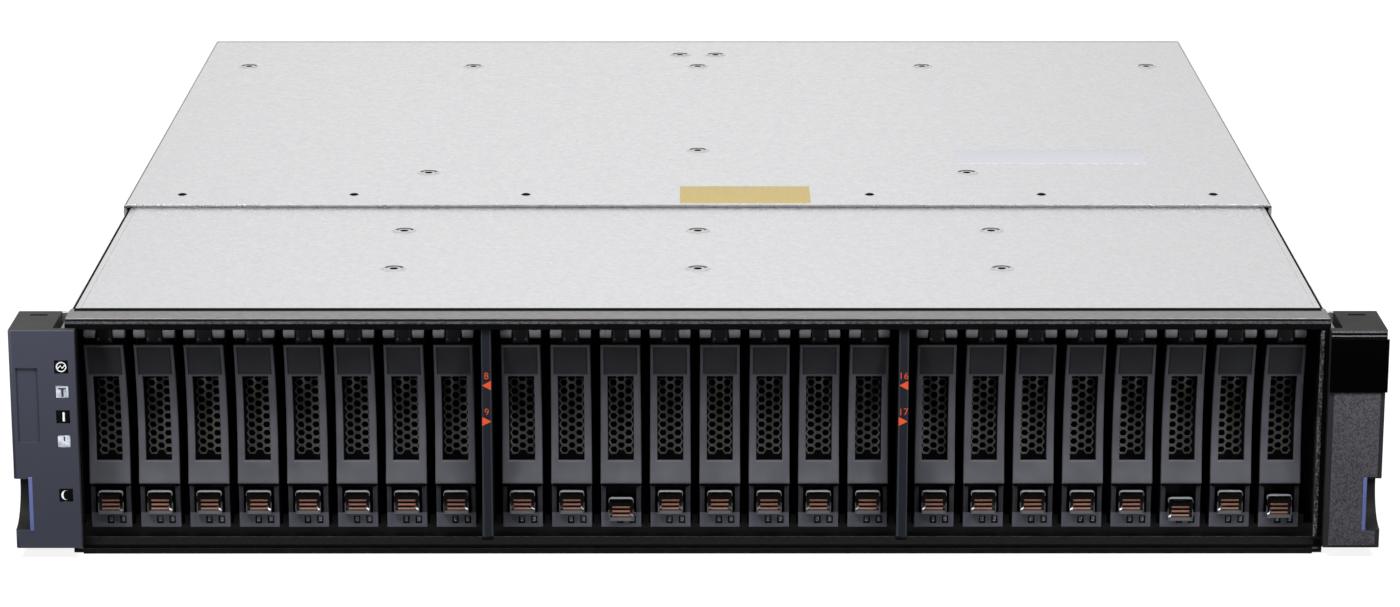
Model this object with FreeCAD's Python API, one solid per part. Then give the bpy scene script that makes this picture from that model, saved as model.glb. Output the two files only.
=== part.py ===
import FreeCAD, Part
import math
import os

# A two-unit rack storage array: a sheet-steel chassis with twenty-four upright drive carriers
# in front, a midplane board behind them, and two controllers over two power modules at the rear.
# Lengths are millimetres. X runs to the right seen from the front, Y to the rear and Z up.
# Depths are stations behind the front edge of the chassis, until place() moves each piece
# to the origin at the bottom centre of the whole array.

Vector = FreeCAD.Vector

# Rack interface
RACK_WIDTH = 482.6
EAR_REACH = 19.3
EAR_HOLE_EDGE = 8.75
EAR_HOLE_PITCH = 44.45
EAR_HOLE_RADIUS = 3.5
EAR_HOLE_MIDDLE = 43.7
EAR_THICKNESS = 2.0
EAR_EDGE_GAP = 0.5
EAR_WING_LENGTH = 60.0
EAR_WING_START = 2.0

# Sheet-steel chassis and its covers
CHASSIS_DEPTH = 490.0
FRONT_COVER_TOP = 86.5
SHEET = 1.2
WALL_FLANGE = 8.0
COVER_SEAM = 165.0
COVER_LAP = 10.0
FLANGE_STEP_LAP = 1.5
FRONT_COVER_INSET = 3.6
REAR_COVER_SKIRT = 4.6
REAR_COVER_BEND = 1.0
CROSS_RAIL_DEPTH = 13.1
CROSS_RAIL_DROP = 0.2
CROSS_RAIL_LIP = 3.0
COVER_FRONT_GAP = 0.4
COVER_SLOT_COUNT = 7
COVER_SLOT_PITCH = 67.5
COVER_SLOT_LENGTH = 3.6
COVER_SLOT_WIDTH = 1.5
COVER_SLOT_STATION = 182.5
FLOOR_LIP_HEIGHT = 2.2
FLOOR_LIP_DEPTH = 1.5
FLOOR_LIP_INSET = 3.5

# Black front frame
FRAME_DEPTH = 2.0
FRAME_TOP = 86.0
FRAME_TOP_BEVEL = 1.0
FRAME_BOTTOM = 2.6
FRAME_BOTTOM_BEVEL_START = 3.7
OPENING_BOTTOM = 6.3
OPENING_TOP = 82.6
LEFT_STILE = 4.3
RIGHT_STILE = 3.0
DIVIDER_WIDTH = 3.5
DIVIDER_DEPTH = 14.0
DIVIDER_SETBACK = 1.0

# Drive bays, counted from the left
BAY_GROUPS = 3
BAY_PITCH = 17.6
GROUP_STEP = 6.1
BAY_ROW_OFFSET = -1.0

# Drive carrier
CARRIER_WIDTH = 14.3
CARRIER_BOTTOM = 6.6
CARRIER_END = 152.0
RAIL_HEIGHT = 2.4
CHEEK_THICKNESS = 0.8
CHEEK_FRONT = 12.0
BLOCK_FRONT = 9.0
BLOCK_TOP = 21.9
LATCH_RECESS_WIDTH = 10.2
LATCH_RECESS_DEPTH = 6.0
LATCH_RECESS_BOTTOM = 11.3

# Small-form-factor drive
DRIVE_THICKNESS = 14.8
DRIVE_HEIGHT = 69.85
DRIVE_LENGTH = 100.2
DRIVE_FRONT = 42.0

# Honeycomb grille behind the handle's window
GRILLE_STATION = 16.5
GRILLE_THICKNESS = 1.0
GRILLE_HOLE = 5.4
GRILLE_WALL = 1.6
GRILLE_ROWS = 3
GRILLE_COLUMNS = 2

# Release latch: a scooped push piece in front of the block on a stem in its recess
LATCH_WIDTH = 9.2
LATCH_TOP = 20.5
LATCH_BOTTOM = 12.1
LATCH_FRONT = 6.9
LATCH_SCOOP = 1.2
LATCH_LIP = 1.6
LATCH_FACE_GAP = 0.2
LATCH_STEM_WIDTH = 7.2
LATCH_STEM_BOTTOM = 14.3
LATCH_STEM_TOP_GAP = 0.4
LATCH_DROPS = {11: 2.6, 22: 2.6, 24: 1.5}

# Hinged carrier handle
HANDLE_WIDTH = 14.6
HANDLE_BOTTOM = 23.1
HANDLE_TOP_STATION = 3.3
HANDLE_MIDDLE_STATION = 9.2
HANDLE_BOTTOM_STATION = 7.5
HANDLE_BACK = 11.2
HANDLE_FACETS = 4
WINDOW_WIDTH = 9.2
WINDOW_BOTTOM = 31.5
WINDOW_TOP = 63.1
PIVOT_STATION = 7.8
PIVOT_HEIGHT = 79.7
PIVOT_ABOVE_HANDLE = 4.1
PIN_RADIUS = 0.9
PIN_CLEARANCE = 0.05
PIN_FLATS = 6
KNUCKLE_WIDTH = 6.0
KNUCKLE_REACH = 1.7
KNUCKLE_SIDE_GAP = 0.2
LUG_REACH = 2.6

# Moulded guides above and below the carriers
GUIDE_FRONT = 14.5
GUIDE_LENGTH = 128.0
GUIDE_RIB_WIDTH = 2.2
GUIDE_RIB_GRIP = 3.2
GUIDE_PLATE = 2.0
CARRIER_SLIDE_GAP = 0.2

# Midplane board
BOARD_STATION = 160.0
BOARD_THICKNESS = 2.4
BOARD_SIDE_GAP = 3.0
BOARD_TOP_GAP = 2.0
DRIVE_SOCKET_WIDTH = 6.0
DRIVE_SOCKET_HEIGHT = 36.0
DRIVE_SOCKET_BOTTOM = 14.0
SOCKET_GAP = 0.2
MODULE_SOCKET_WIDTH = 60.0
MODULE_SOCKET_HEIGHT = 16.0
AIR_HOLE_HEIGHT = 18.0
AIR_HOLE_BOTTOM = 56.0
AIR_HOLE_SIDE_GAP = 3.0

# Rear bays and their modules
SHELF_BOTTOM = 42.6
MODULE_FRONT = 178.0
MODULE_GAP = 0.3
MODULE_REAR_SETBACK = 1.0
GRIP_LENGTH = 46.0
GRIP_REACH = 20.0
GRIP_BAR = 5.0
GRIP_HEIGHT = 8.0
GRIP_SIDE_INSET = 12.0
PORT_DEPTH = 14.0
SAS_PORT_WIDTH = 23.0
SAS_PORT_HEIGHT = 8.4
SAS_PORT_CENTRES = (-76.0, -44.0, -12.0)
NETWORK_PORT_WIDTH = 12.4
NETWORK_PORT_HEIGHT = 10.2
NETWORK_PORT_CENTRES = (16.0, 34.0)
PORT_ROW_HEIGHT = 13.0
INLET_WIDTH = 24.6
INLET_HEIGHT = 17.0
INLET_CLIP = 4.0
INLET_DEPTH = 16.0
INLET_CENTRE = 78.0
VENT_SLOT_WIDTH = 4.0
VENT_SLOT_PITCH = 9.0
VENT_DEPTH = 2.0
VENT_MARGIN = 6.0
POWER_VENT_COUNT = 10
POWER_VENT_START = -44.0
CONTROLLER_VENT_COUNT = 10
CONTROLLER_VENT_START = -44.0
CONTROLLER_VENT_BOTTOM = 24.0

# Moulded end caps over the rack ears
CAP_TOP = 83.6
CAP_BOTTOM = 4.0
CAP_FRONT = -7.0
CAP_FACE_THICKNESS = 4.0
CAP_BACK = 20.2
CAP_BODY_GAP = 4.0
CAP_WALL = 1.5
CAP_CORNER = 1.2
LEFT_CAP_LAP = 3.9
RIGHT_CAP_LAP = 0.6
CAP_SLOT_LENGTH = 6.2
CAP_SLOT_WIDTH = 2.0
CAP_SLOT_STATION = 14.0
CAP_SLOT_OUTSET = 4.7
NOTCH_WIDTH = 6.3
NOTCH_DEPTH = 14.0
NOTCH_TOP = 29.6
NOTCH_BOTTOM = 10.6
NOTCH_STRAIGHT = 6.0
PANEL_RECESS = 0.6
PANEL_OUTSET = 2.3
PANEL_WIDTH = 7.7
PANEL_TOP = 70.2
PANEL_BOTTOM = 43.0
LAMP_SIZE = 4.9
LAMP_RECESS = 0.8
LAMP_INSET = 2.4
LAMP_BOTTOMS = (68.1, 59.0, 49.9, 40.9, 21.1)
BAND_TOP = 80.7
BAND_BOTTOM = 61.1
BAND_PROUD = 0.4

# Derived planes
CHASSIS_WIDTH = RACK_WIDTH - 2 * EAR_REACH
EAR_HOLE_SPACING = RACK_WIDTH - 2 * EAR_HOLE_EDGE
HALF_WIDTH = CHASSIS_WIDTH / 2
WALL_INSIDE = HALF_WIDTH - SHEET
OPENING_LEFT = LEFT_STILE - HALF_WIDTH
OPENING_RIGHT = HALF_WIDTH - RIGHT_STILE
CAP_BODY_INSIDE = HALF_WIDTH + CAP_BODY_GAP
LEFT_CAP_FACE_EDGE = HALF_WIDTH - LEFT_CAP_LAP
RIGHT_CAP_FACE_EDGE = HALF_WIDTH - RIGHT_CAP_LAP
FRONT_FLANGE_TOP = FRONT_COVER_TOP - SHEET
REAR_FLANGE_TOP = FRONT_COVER_TOP
REAR_COVER_TOP = REAR_FLANGE_TOP + SHEET
SHELF_TOP = SHELF_BOTTOM + SHEET
MODULE_REAR = CHASSIS_DEPTH - MODULE_REAR_SETBACK
ARRAY_BACK = MODULE_REAR + GRIP_REACH
MIDDLE_STATION = (CAP_FRONT + ARRAY_BACK) / 2
RAIL_TOP = CARRIER_BOTTOM + RAIL_HEIGHT
DRIVE_TOP = RAIL_TOP + DRIVE_HEIGHT
CARRIER_TOP = DRIVE_TOP + RAIL_HEIGHT
DRIVE_REAR = DRIVE_FRONT + DRIVE_LENGTH
HANDLE_TOP = PIVOT_HEIGHT - PIVOT_ABOVE_HANDLE
BAY_ROOM = OPENING_RIGHT - OPENING_LEFT - (BAY_GROUPS - 1) * GROUP_STEP
BAYS_PER_GROUP = int(BAY_ROOM // (BAY_GROUPS * BAY_PITCH))
BAY_COUNT = BAY_GROUPS * BAYS_PER_GROUP


def box(x, y, z):
    """A block between the low and high values given for each axis."""
    size = Vector(x[1] - x[0], y[1] - y[0], z[1] - z[0])
    return Part.makeBox(size.x, size.y, size.z, Vector(x[0], y[0], z[0]))


def centred(width, middle=0.0):
    """The low and high values of a width about its middle."""
    return (middle - width / 2, middle + width / 2)


def prism(points, travel):
    """A closed outline of straight sides, carried along a straight travel."""
    outline = Part.makePolygon(points + points[:1])
    return Part.Face(outline).extrude(travel)


def side_prism(outline, x):
    """A profile of station and height, carried from the low to the high X."""
    points = [Vector(x[0], station, height) for station, height in outline]
    return prism(points, Vector(x[1] - x[0], 0, 0))


def front_prism(outline, y):
    """A profile of X and height, carried from the low to the high station."""
    points = [Vector(across, y[0], height) for across, height in outline]
    return prism(points, Vector(0, y[1] - y[0], 0))


def mirrored(shape):
    """The same shape on the other side of the middle plane."""
    return shape.mirror(Vector(0, 0, 0), Vector(1, 0, 0))


def both_sides(shape):
    """A shape and its mirror image, as a list."""
    return [shape, mirrored(shape)]


def joined(shapes):
    """One solid from touching shapes, with its split faces merged."""
    return shapes[0].multiFuse(shapes[1:]).removeSplitter()


def bay_middle(bay):
    """X of a bay's middle, with a wider step between the groups."""
    group = (bay - 1) // BAYS_PER_GROUP
    place_in_row = (bay - 1) * BAY_PITCH + group * GROUP_STEP
    row_length = (BAY_COUNT - 1) * BAY_PITCH + (BAY_GROUPS - 1) * GROUP_STEP
    return BAY_ROW_OFFSET + place_in_row - row_length / 2


def group_edges():
    """X of the middle of each gap that divides two groups of bays."""
    last_bays = [BAYS_PER_GROUP * group for group in range(1, BAY_GROUPS)]
    return [(bay_middle(bay) + bay_middle(bay + 1)) / 2 for bay in last_bays]


def place(name, shape):
    """Move a piece to the common origin and write it under its node name."""
    shape.translate(Vector(0, -MIDDLE_STATION, 0))
    shape.exportStep("parts/" + name + ".step")


def side_wall(flange_top, y):
    """The right side wall of the chassis with its inward top flange."""
    outline = [
        (HALF_WIDTH, 0),
        (HALF_WIDTH, flange_top),
        (WALL_INSIDE - WALL_FLANGE, flange_top),
        (WALL_INSIDE - WALL_FLANGE, flange_top - SHEET),
        (WALL_INSIDE, flange_top - SHEET),
        (WALL_INSIDE, 0),
    ]
    return front_prism(outline, y)


def rack_ear():
    """The right rack ear: a wing along the wall and a drilled flange behind the cap."""
    wing_x = (HALF_WIDTH, HALF_WIDTH + EAR_THICKNESS)
    wing_z = (CAP_BOTTOM + CAP_WALL, CAP_TOP - CAP_WALL)
    wing = box(wing_x, (EAR_WING_START, EAR_WING_START + EAR_WING_LENGTH), wing_z)
    flange_x = (HALF_WIDTH, RACK_WIDTH / 2 - EAR_EDGE_GAP)
    flange_z = (CAP_BOTTOM + EAR_EDGE_GAP, CAP_TOP - EAR_EDGE_GAP)
    flange = box(flange_x, (CAP_BACK, CAP_BACK + EAR_THICKNESS), flange_z)
    for side in (-1, 1):
        height = EAR_HOLE_MIDDLE + side * EAR_HOLE_PITCH / 2
        start = Vector(EAR_HOLE_SPACING / 2, CAP_BACK, height)
        hole = Part.makeCylinder(EAR_HOLE_RADIUS, EAR_THICKNESS, start, Vector(0, 1, 0))
        flange = flange.cut(hole)
    return wing.fuse(flange)


def chassis_tray():
    """Floor, side walls, front cross rail, rear shelf, middle wall and rack ears, welded."""
    floor = box((-HALF_WIDTH, HALF_WIDTH), (0, CHASSIS_DEPTH), (0, SHEET))
    lip_half = HALF_WIDTH - FLOOR_LIP_INSET
    floor_lip = box((-lip_half, lip_half), (-FLOOR_LIP_DEPTH, 0), (0, FLOOR_LIP_HEIGHT))
    floor_fold = box((-lip_half, lip_half), (0, SHEET), (0, FLOOR_LIP_HEIGHT))
    flange_step = COVER_SEAM + COVER_LAP
    front_wall = side_wall(FRONT_FLANGE_TOP, (0, flange_step + FLANGE_STEP_LAP))
    rear_wall = side_wall(REAR_FLANGE_TOP, (flange_step, CHASSIS_DEPTH))
    rail_top = FRONT_COVER_TOP - CROSS_RAIL_DROP
    across = (-HALF_WIDTH, HALF_WIDTH)
    cross_rail = box(across, (0, CROSS_RAIL_DEPTH), (FRONT_FLANGE_TOP, rail_top))
    rail_lip = box(across, (0, SHEET), (rail_top - CROSS_RAIL_LIP, rail_top))
    rear_y = (MODULE_FRONT - MODULE_GAP, CHASSIS_DEPTH)
    shelf = box((-WALL_INSIDE, WALL_INSIDE), rear_y, (SHELF_BOTTOM, SHELF_TOP))
    middle_wall = box(centred(SHEET), rear_y, (SHEET, REAR_FLANGE_TOP))
    pieces = [floor, floor_lip, floor_fold, cross_rail, rail_lip, shelf, middle_wall]
    for piece in (front_wall, rear_wall, rack_ear()):
        pieces += both_sides(piece)
    return joined(pieces)


def front_top_cover():
    """The flat front cover, which lies on the wall flanges and runs under the rear cover."""
    half = HALF_WIDTH - FRONT_COVER_INSET
    y = (CROSS_RAIL_DEPTH + COVER_FRONT_GAP, COVER_SEAM + COVER_LAP)
    return box((-half, half), y, (FRONT_FLANGE_TOP, FRONT_COVER_TOP))


def rear_top_cover():
    """The rear cover, folded down over both walls, with its row of small slots."""
    half = HALF_WIDTH + SHEET
    y = (COVER_SEAM, CHASSIS_DEPTH)
    skirt_bottom = REAR_COVER_TOP - REAR_COVER_SKIRT
    outer = box((-half, half), y, (skirt_bottom, REAR_COVER_TOP))
    long_edges = [
        edge
        for edge in outer.Edges
        if edge.BoundBox.ZMin > REAR_FLANGE_TOP and edge.BoundBox.YLength > SHEET
    ]
    outer = outer.makeFillet(REAR_COVER_BEND, long_edges)
    inside = box((-HALF_WIDTH, HALF_WIDTH), y, (skirt_bottom, REAR_FLANGE_TOP))
    cover = outer.cut(inside)
    slot_y = centred(COVER_SLOT_WIDTH, COVER_SLOT_STATION)
    for index in range(COVER_SLOT_COUNT):
        middle = (index - (COVER_SLOT_COUNT - 1) / 2) * COVER_SLOT_PITCH
        slot_x = centred(COVER_SLOT_LENGTH, middle)
        cover = cover.cut(box(slot_x, slot_y, (REAR_FLANGE_TOP, REAR_COVER_TOP)))
    return cover


def front_frame():
    """The black frame round the bays, with bevelled rails and a post between the groups."""
    opening = [
        (OPENING_LEFT, OPENING_BOTTOM),
        (OPENING_RIGHT, OPENING_BOTTOM),
        (OPENING_RIGHT, OPENING_TOP),
        (OPENING_LEFT, OPENING_TOP),
    ]
    section = [
        (0, FRAME_BOTTOM),
        (-FRAME_DEPTH, FRAME_BOTTOM),
        (-FRAME_DEPTH, FRAME_TOP - FRAME_TOP_BEVEL),
        (0, FRAME_TOP),
    ]
    frame = side_prism(section, (-HALF_WIDTH, HALF_WIDTH))
    frame = frame.cut(front_prism(opening, (-FRAME_DEPTH, 0)))
    sill_bevel = [
        (0, OPENING_BOTTOM),
        (-FRAME_DEPTH, OPENING_BOTTOM),
        (-FRAME_DEPTH, FRAME_BOTTOM_BEVEL_START),
    ]
    frame = frame.cut(side_prism(sill_bevel, (OPENING_LEFT, OPENING_RIGHT)))
    post_y = (-DIVIDER_SETBACK, DIVIDER_DEPTH)
    post_z = (OPENING_BOTTOM, OPENING_TOP)
    posts = [box(centred(DIVIDER_WIDTH, x), post_y, post_z) for x in group_edges()]
    heels = []
    for x in group_edges():
        heel_y = (-DIVIDER_SETBACK, 0)
        heels.append(box(centred(DIVIDER_WIDTH, x), heel_y, (FRAME_BOTTOM, OPENING_BOTTOM)))
    return joined([frame] + posts + heels)


def guide_ribs(height):
    """Upright ribs between the bays and beside the first and last bay of each group."""
    ribs = []
    y = (GUIDE_FRONT, GUIDE_FRONT + GUIDE_LENGTH)
    for bay in range(1, BAY_COUNT + 1):
        after = bay_middle(bay) + BAY_PITCH / 2
        ribs.append(box(centred(GUIDE_RIB_WIDTH, after), y, height))
        if (bay - 1) % BAYS_PER_GROUP == 0:
            before = bay_middle(bay) - BAY_PITCH / 2
            ribs.append(box(centred(GUIDE_RIB_WIDTH, before), y, height))
    return ribs


def drive_guides():
    """Two combs: one on the floor that carries the carriers, one under the wall flanges."""
    y = (GUIDE_FRONT, GUIDE_FRONT + GUIDE_LENGTH)
    floor_top = CARRIER_BOTTOM - CARRIER_SLIDE_GAP
    lower_plate = box((-WALL_INSIDE, WALL_INSIDE), y, (SHEET, floor_top))
    lower = [lower_plate] + guide_ribs((floor_top, CARRIER_BOTTOM + GUIDE_RIB_GRIP))
    plate_top = FRONT_FLANGE_TOP - SHEET
    plate_bottom = plate_top - GUIDE_PLATE
    upper_plate = box((-WALL_INSIDE, WALL_INSIDE), y, (plate_bottom, plate_top))
    upper = [upper_plate] + guide_ribs((CARRIER_TOP - GUIDE_RIB_GRIP, plate_bottom))
    return Part.makeCompound([joined(lower), joined(upper)])


def midplane_board():
    """The upright board with a socket for each drive and each rear module, and air holes."""
    half = WALL_INSIDE - BOARD_SIDE_GAP
    top = FRONT_FLANGE_TOP - SHEET - BOARD_TOP_GAP
    thick = (BOARD_STATION, BOARD_STATION + BOARD_THICKNESS)
    board = box((-half, half), thick, (SHEET, top))
    socket_z = (DRIVE_SOCKET_BOTTOM, DRIVE_SOCKET_BOTTOM + DRIVE_SOCKET_HEIGHT)
    socket_y = (DRIVE_REAR + SOCKET_GAP, BOARD_STATION)
    sockets = []
    for bay in range(1, BAY_COUNT + 1):
        sockets.append(box(centred(DRIVE_SOCKET_WIDTH, bay_middle(bay)), socket_y, socket_z))
    module_y = (thick[1], MODULE_FRONT - SOCKET_GAP)
    for middle in (-HALF_WIDTH / 2, HALF_WIDTH / 2):
        for low, high in module_bay_heights():
            height = centred(MODULE_SOCKET_HEIGHT, (low + high) / 2)
            sockets.append(box(centred(MODULE_SOCKET_WIDTH, middle), module_y, height))
    air_z = (AIR_HOLE_BOTTOM, AIR_HOLE_BOTTOM + AIR_HOLE_HEIGHT)
    for group in range(BAY_GROUPS):
        first = bay_middle(group * BAYS_PER_GROUP + 1)
        last = bay_middle((group + 1) * BAYS_PER_GROUP)
        air_x = (first + AIR_HOLE_SIDE_GAP, last - AIR_HOLE_SIDE_GAP)
        board = board.cut(box(air_x, thick, air_z))
    return joined([board] + sockets)


def grille():
    """A plate across the carrier, pierced by staggered columns of hexagonal holes."""
    half = CARRIER_WIDTH / 2 - CHEEK_THICKNESS
    y = (GRILLE_STATION, GRILLE_STATION + GRILLE_THICKNESS)
    plate = box((-half, half), y, (BLOCK_TOP, DRIVE_TOP))
    pitch = GRILLE_HOLE + GRILLE_WALL
    column_pitch = pitch * math.sqrt(3) / 2
    corner_radius = GRILLE_HOLE / math.sqrt(3)
    window_middle = (WINDOW_BOTTOM + WINDOW_TOP) / 2
    for column in range(GRILLE_COLUMNS):
        x = (column - (GRILLE_COLUMNS - 1) / 2) * column_pitch
        stagger = (column % 2 - 0.5) * pitch / 2
        for row in range(GRILLE_ROWS):
            z = window_middle + stagger + (row - (GRILLE_ROWS - 1) / 2) * pitch
            corners = []
            for corner in range(6):
                angle = corner * math.pi / 3
                across = x + corner_radius * math.cos(angle)
                corners.append((across, z + corner_radius * math.sin(angle)))
            plate = plate.cut(front_prism(corners, y))
    return plate


def round_bar(radius, x):
    """A bar along the hinge axis with a few flats, whose corners lie at the radius given."""
    outline = []
    for corner in range(PIN_FLATS):
        angle = (corner + 0.5) * 2 * math.pi / PIN_FLATS
        station = PIVOT_STATION + radius * math.cos(angle)
        outline.append((station, PIVOT_HEIGHT + radius * math.sin(angle)))
    return side_prism(outline, x)


def sled():
    """The moulded carrier: front block, open cheeks, two rails round the drive and hinge lugs."""
    outline = [
        (BLOCK_FRONT, CARRIER_BOTTOM),
        (BLOCK_FRONT, BLOCK_TOP),
        (CHEEK_FRONT, BLOCK_TOP),
        (CHEEK_FRONT, CARRIER_TOP),
        (CARRIER_END, CARRIER_TOP),
        (CARRIER_END, DRIVE_TOP),
        (DRIVE_FRONT, DRIVE_TOP),
        (DRIVE_FRONT, RAIL_TOP),
        (CARRIER_END, RAIL_TOP),
        (CARRIER_END, CARRIER_BOTTOM),
    ]
    body = side_prism(outline, centred(CARRIER_WIDTH))
    duct_x = centred(CARRIER_WIDTH - 2 * CHEEK_THICKNESS)
    duct = box(duct_x, (CHEEK_FRONT, DRIVE_FRONT), (BLOCK_TOP, DRIVE_TOP))
    recess_y = (BLOCK_FRONT, BLOCK_FRONT + LATCH_RECESS_DEPTH)
    recess = box(centred(LATCH_RECESS_WIDTH), recess_y, (LATCH_RECESS_BOTTOM, BLOCK_TOP))
    body = body.cut(duct).cut(recess)
    lug_inside = KNUCKLE_WIDTH / 2 + KNUCKLE_SIDE_GAP
    lug_y = (PIVOT_STATION - LUG_REACH, CHEEK_FRONT)
    lug_z = (PIVOT_HEIGHT - LUG_REACH, PIVOT_HEIGHT + KNUCKLE_REACH)
    lug = box((lug_inside, CARRIER_WIDTH / 2), lug_y, lug_z)
    pin = round_bar(PIN_RADIUS, (-lug_inside, lug_inside))
    return joined([body, pin] + both_sides(lug))


def latch(drop):
    """The release latch, scooped for a fingertip, lowered by how far it is pressed."""
    back = BLOCK_FRONT - LATCH_FACE_GAP
    scoop = LATCH_FRONT + LATCH_SCOOP
    profile = [
        (back, LATCH_BOTTOM),
        (LATCH_FRONT, LATCH_BOTTOM),
        (scoop, LATCH_BOTTOM + LATCH_LIP),
        (scoop, LATCH_TOP - LATCH_LIP),
        (LATCH_FRONT, LATCH_TOP),
        (back, LATCH_TOP),
    ]
    push_piece = side_prism(profile, centred(LATCH_WIDTH))
    stem_y = (back, BLOCK_FRONT + LATCH_RECESS_DEPTH)
    stem_z = (LATCH_STEM_BOTTOM, LATCH_TOP - LATCH_STEM_TOP_GAP)
    stem = box(centred(LATCH_STEM_WIDTH), stem_y, stem_z)
    return push_piece.fuse(stem).translated(Vector(0, 0, -drop))


def drive():
    """The drive between the carrier's rails."""
    y = (DRIVE_FRONT, DRIVE_REAR)
    return box(centred(DRIVE_THICKNESS), y, (RAIL_TOP, DRIVE_TOP))


def handle_front():
    """Stations and heights down the handle's hollow front, as chords of one arc."""
    arc = Part.Arc(
        Vector(0, HANDLE_TOP_STATION, HANDLE_TOP),
        Vector(0, HANDLE_MIDDLE_STATION, (HANDLE_TOP + HANDLE_BOTTOM) / 2),
        Vector(0, HANDLE_BOTTOM_STATION, HANDLE_BOTTOM),
    )
    points = arc.discretize(HANDLE_FACETS + 1)
    return [(point.y, point.z) for point in points]


def carrier_handle():
    """The hinged handle: a hollow-fronted plate with a window and a bored top knuckle."""
    outline = handle_front() + [(HANDLE_BACK, HANDLE_BOTTOM), (HANDLE_BACK, HANDLE_TOP)]
    plate = side_prism(outline, centred(HANDLE_WIDTH))
    depth = (HANDLE_TOP_STATION, HANDLE_BACK)
    window = box(centred(WINDOW_WIDTH), depth, (WINDOW_BOTTOM, WINDOW_TOP))
    plate = plate.cut(window)
    neck_y = centred(2 * KNUCKLE_REACH, PIVOT_STATION)
    neck_z = (HANDLE_TOP, PIVOT_HEIGHT + KNUCKLE_REACH)
    knuckle = box(centred(KNUCKLE_WIDTH), neck_y, neck_z)
    bore_radius = (PIN_RADIUS + PIN_CLEARANCE) / math.cos(math.pi / PIN_FLATS)
    bore = round_bar(bore_radius, centred(KNUCKLE_WIDTH))
    return joined([plate, knuckle]).cut(bore)


def module_bay_heights():
    """Low and high values of the lower and upper rear bays, inside their clearances."""
    lower = (SHEET + MODULE_GAP, SHELF_BOTTOM - MODULE_GAP)
    upper = (SHELF_TOP + MODULE_GAP, REAR_FLANGE_TOP - SHEET - MODULE_GAP)
    return [lower, upper]


def module_case(height):
    """The closed case of a right-hand rear module with its rear pull grip."""
    x = (SHEET / 2 + MODULE_GAP, WALL_INSIDE - MODULE_GAP)
    case = box(x, (MODULE_FRONT, MODULE_REAR), height)
    middle = (height[0] + height[1]) / 2
    grip_x = (x[1] - GRIP_SIDE_INSET - GRIP_LENGTH, x[1] - GRIP_SIDE_INSET)
    grip_y = (MODULE_REAR, MODULE_REAR + GRIP_REACH)
    grip_z = centred(GRIP_HEIGHT, middle)
    grip = box(grip_x, grip_y, grip_z)
    gap_x = (grip_x[0] + GRIP_BAR, grip_x[1] - GRIP_BAR)
    gap_y = (grip_y[0], grip_y[1] - GRIP_BAR)
    return joined([case, grip.cut(box(gap_x, gap_y, grip_z))])


def case_middle():
    """X of the middle of a right-hand rear module."""
    return (SHEET / 2 + WALL_INSIDE) / 2


def vent_slots(first, count, low, high):
    """A row of upright slots sunk into a rear face, as cutting blocks."""
    y = (MODULE_REAR - VENT_DEPTH, MODULE_REAR)
    slots = []
    for index in range(count):
        middle = case_middle() + first + index * VENT_SLOT_PITCH
        slots.append(box(centred(VENT_SLOT_WIDTH, middle), y, (low, high)))
    return slots


def controller():
    """A right-hand controller with two rows: sockets below and air slots above."""
    height = module_bay_heights()[1]
    case = module_case(height)
    port_y = (MODULE_REAR - PORT_DEPTH, MODULE_REAR)
    row = height[0] + PORT_ROW_HEIGHT
    cuts = []
    for centre in SAS_PORT_CENTRES:
        x = centred(SAS_PORT_WIDTH, case_middle() + centre)
        cuts.append(box(x, port_y, centred(SAS_PORT_HEIGHT, row)))
    for centre in NETWORK_PORT_CENTRES:
        x = centred(NETWORK_PORT_WIDTH, case_middle() + centre)
        cuts.append(box(x, port_y, centred(NETWORK_PORT_HEIGHT, row)))
    slot_low = height[0] + CONTROLLER_VENT_BOTTOM
    slot_high = height[1] - VENT_MARGIN
    cuts += vent_slots(CONTROLLER_VENT_START, CONTROLLER_VENT_COUNT, slot_low, slot_high)
    return case.cut(Part.makeCompound(cuts))


def power_module():
    """A right-hand power module with air slots and a clipped-corner mains inlet."""
    height = module_bay_heights()[0]
    case = module_case(height)
    middle = (height[0] + height[1]) / 2
    x = centred(INLET_WIDTH, case_middle() - INLET_CENTRE)
    z = centred(INLET_HEIGHT, middle)
    inlet_outline = [
        (x[0], z[0]),
        (x[1], z[0]),
        (x[1], z[1] - INLET_CLIP),
        (x[1] - INLET_CLIP, z[1]),
        (x[0] + INLET_CLIP, z[1]),
        (x[0], z[1] - INLET_CLIP),
    ]
    inlet = front_prism(inlet_outline, (MODULE_REAR - INLET_DEPTH, MODULE_REAR))
    low = height[0] + VENT_MARGIN
    high = height[1] - VENT_MARGIN
    slots = vent_slots(POWER_VENT_START, POWER_VENT_COUNT, low, high)
    return case.cut(Part.makeCompound([inlet] + slots))


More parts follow.
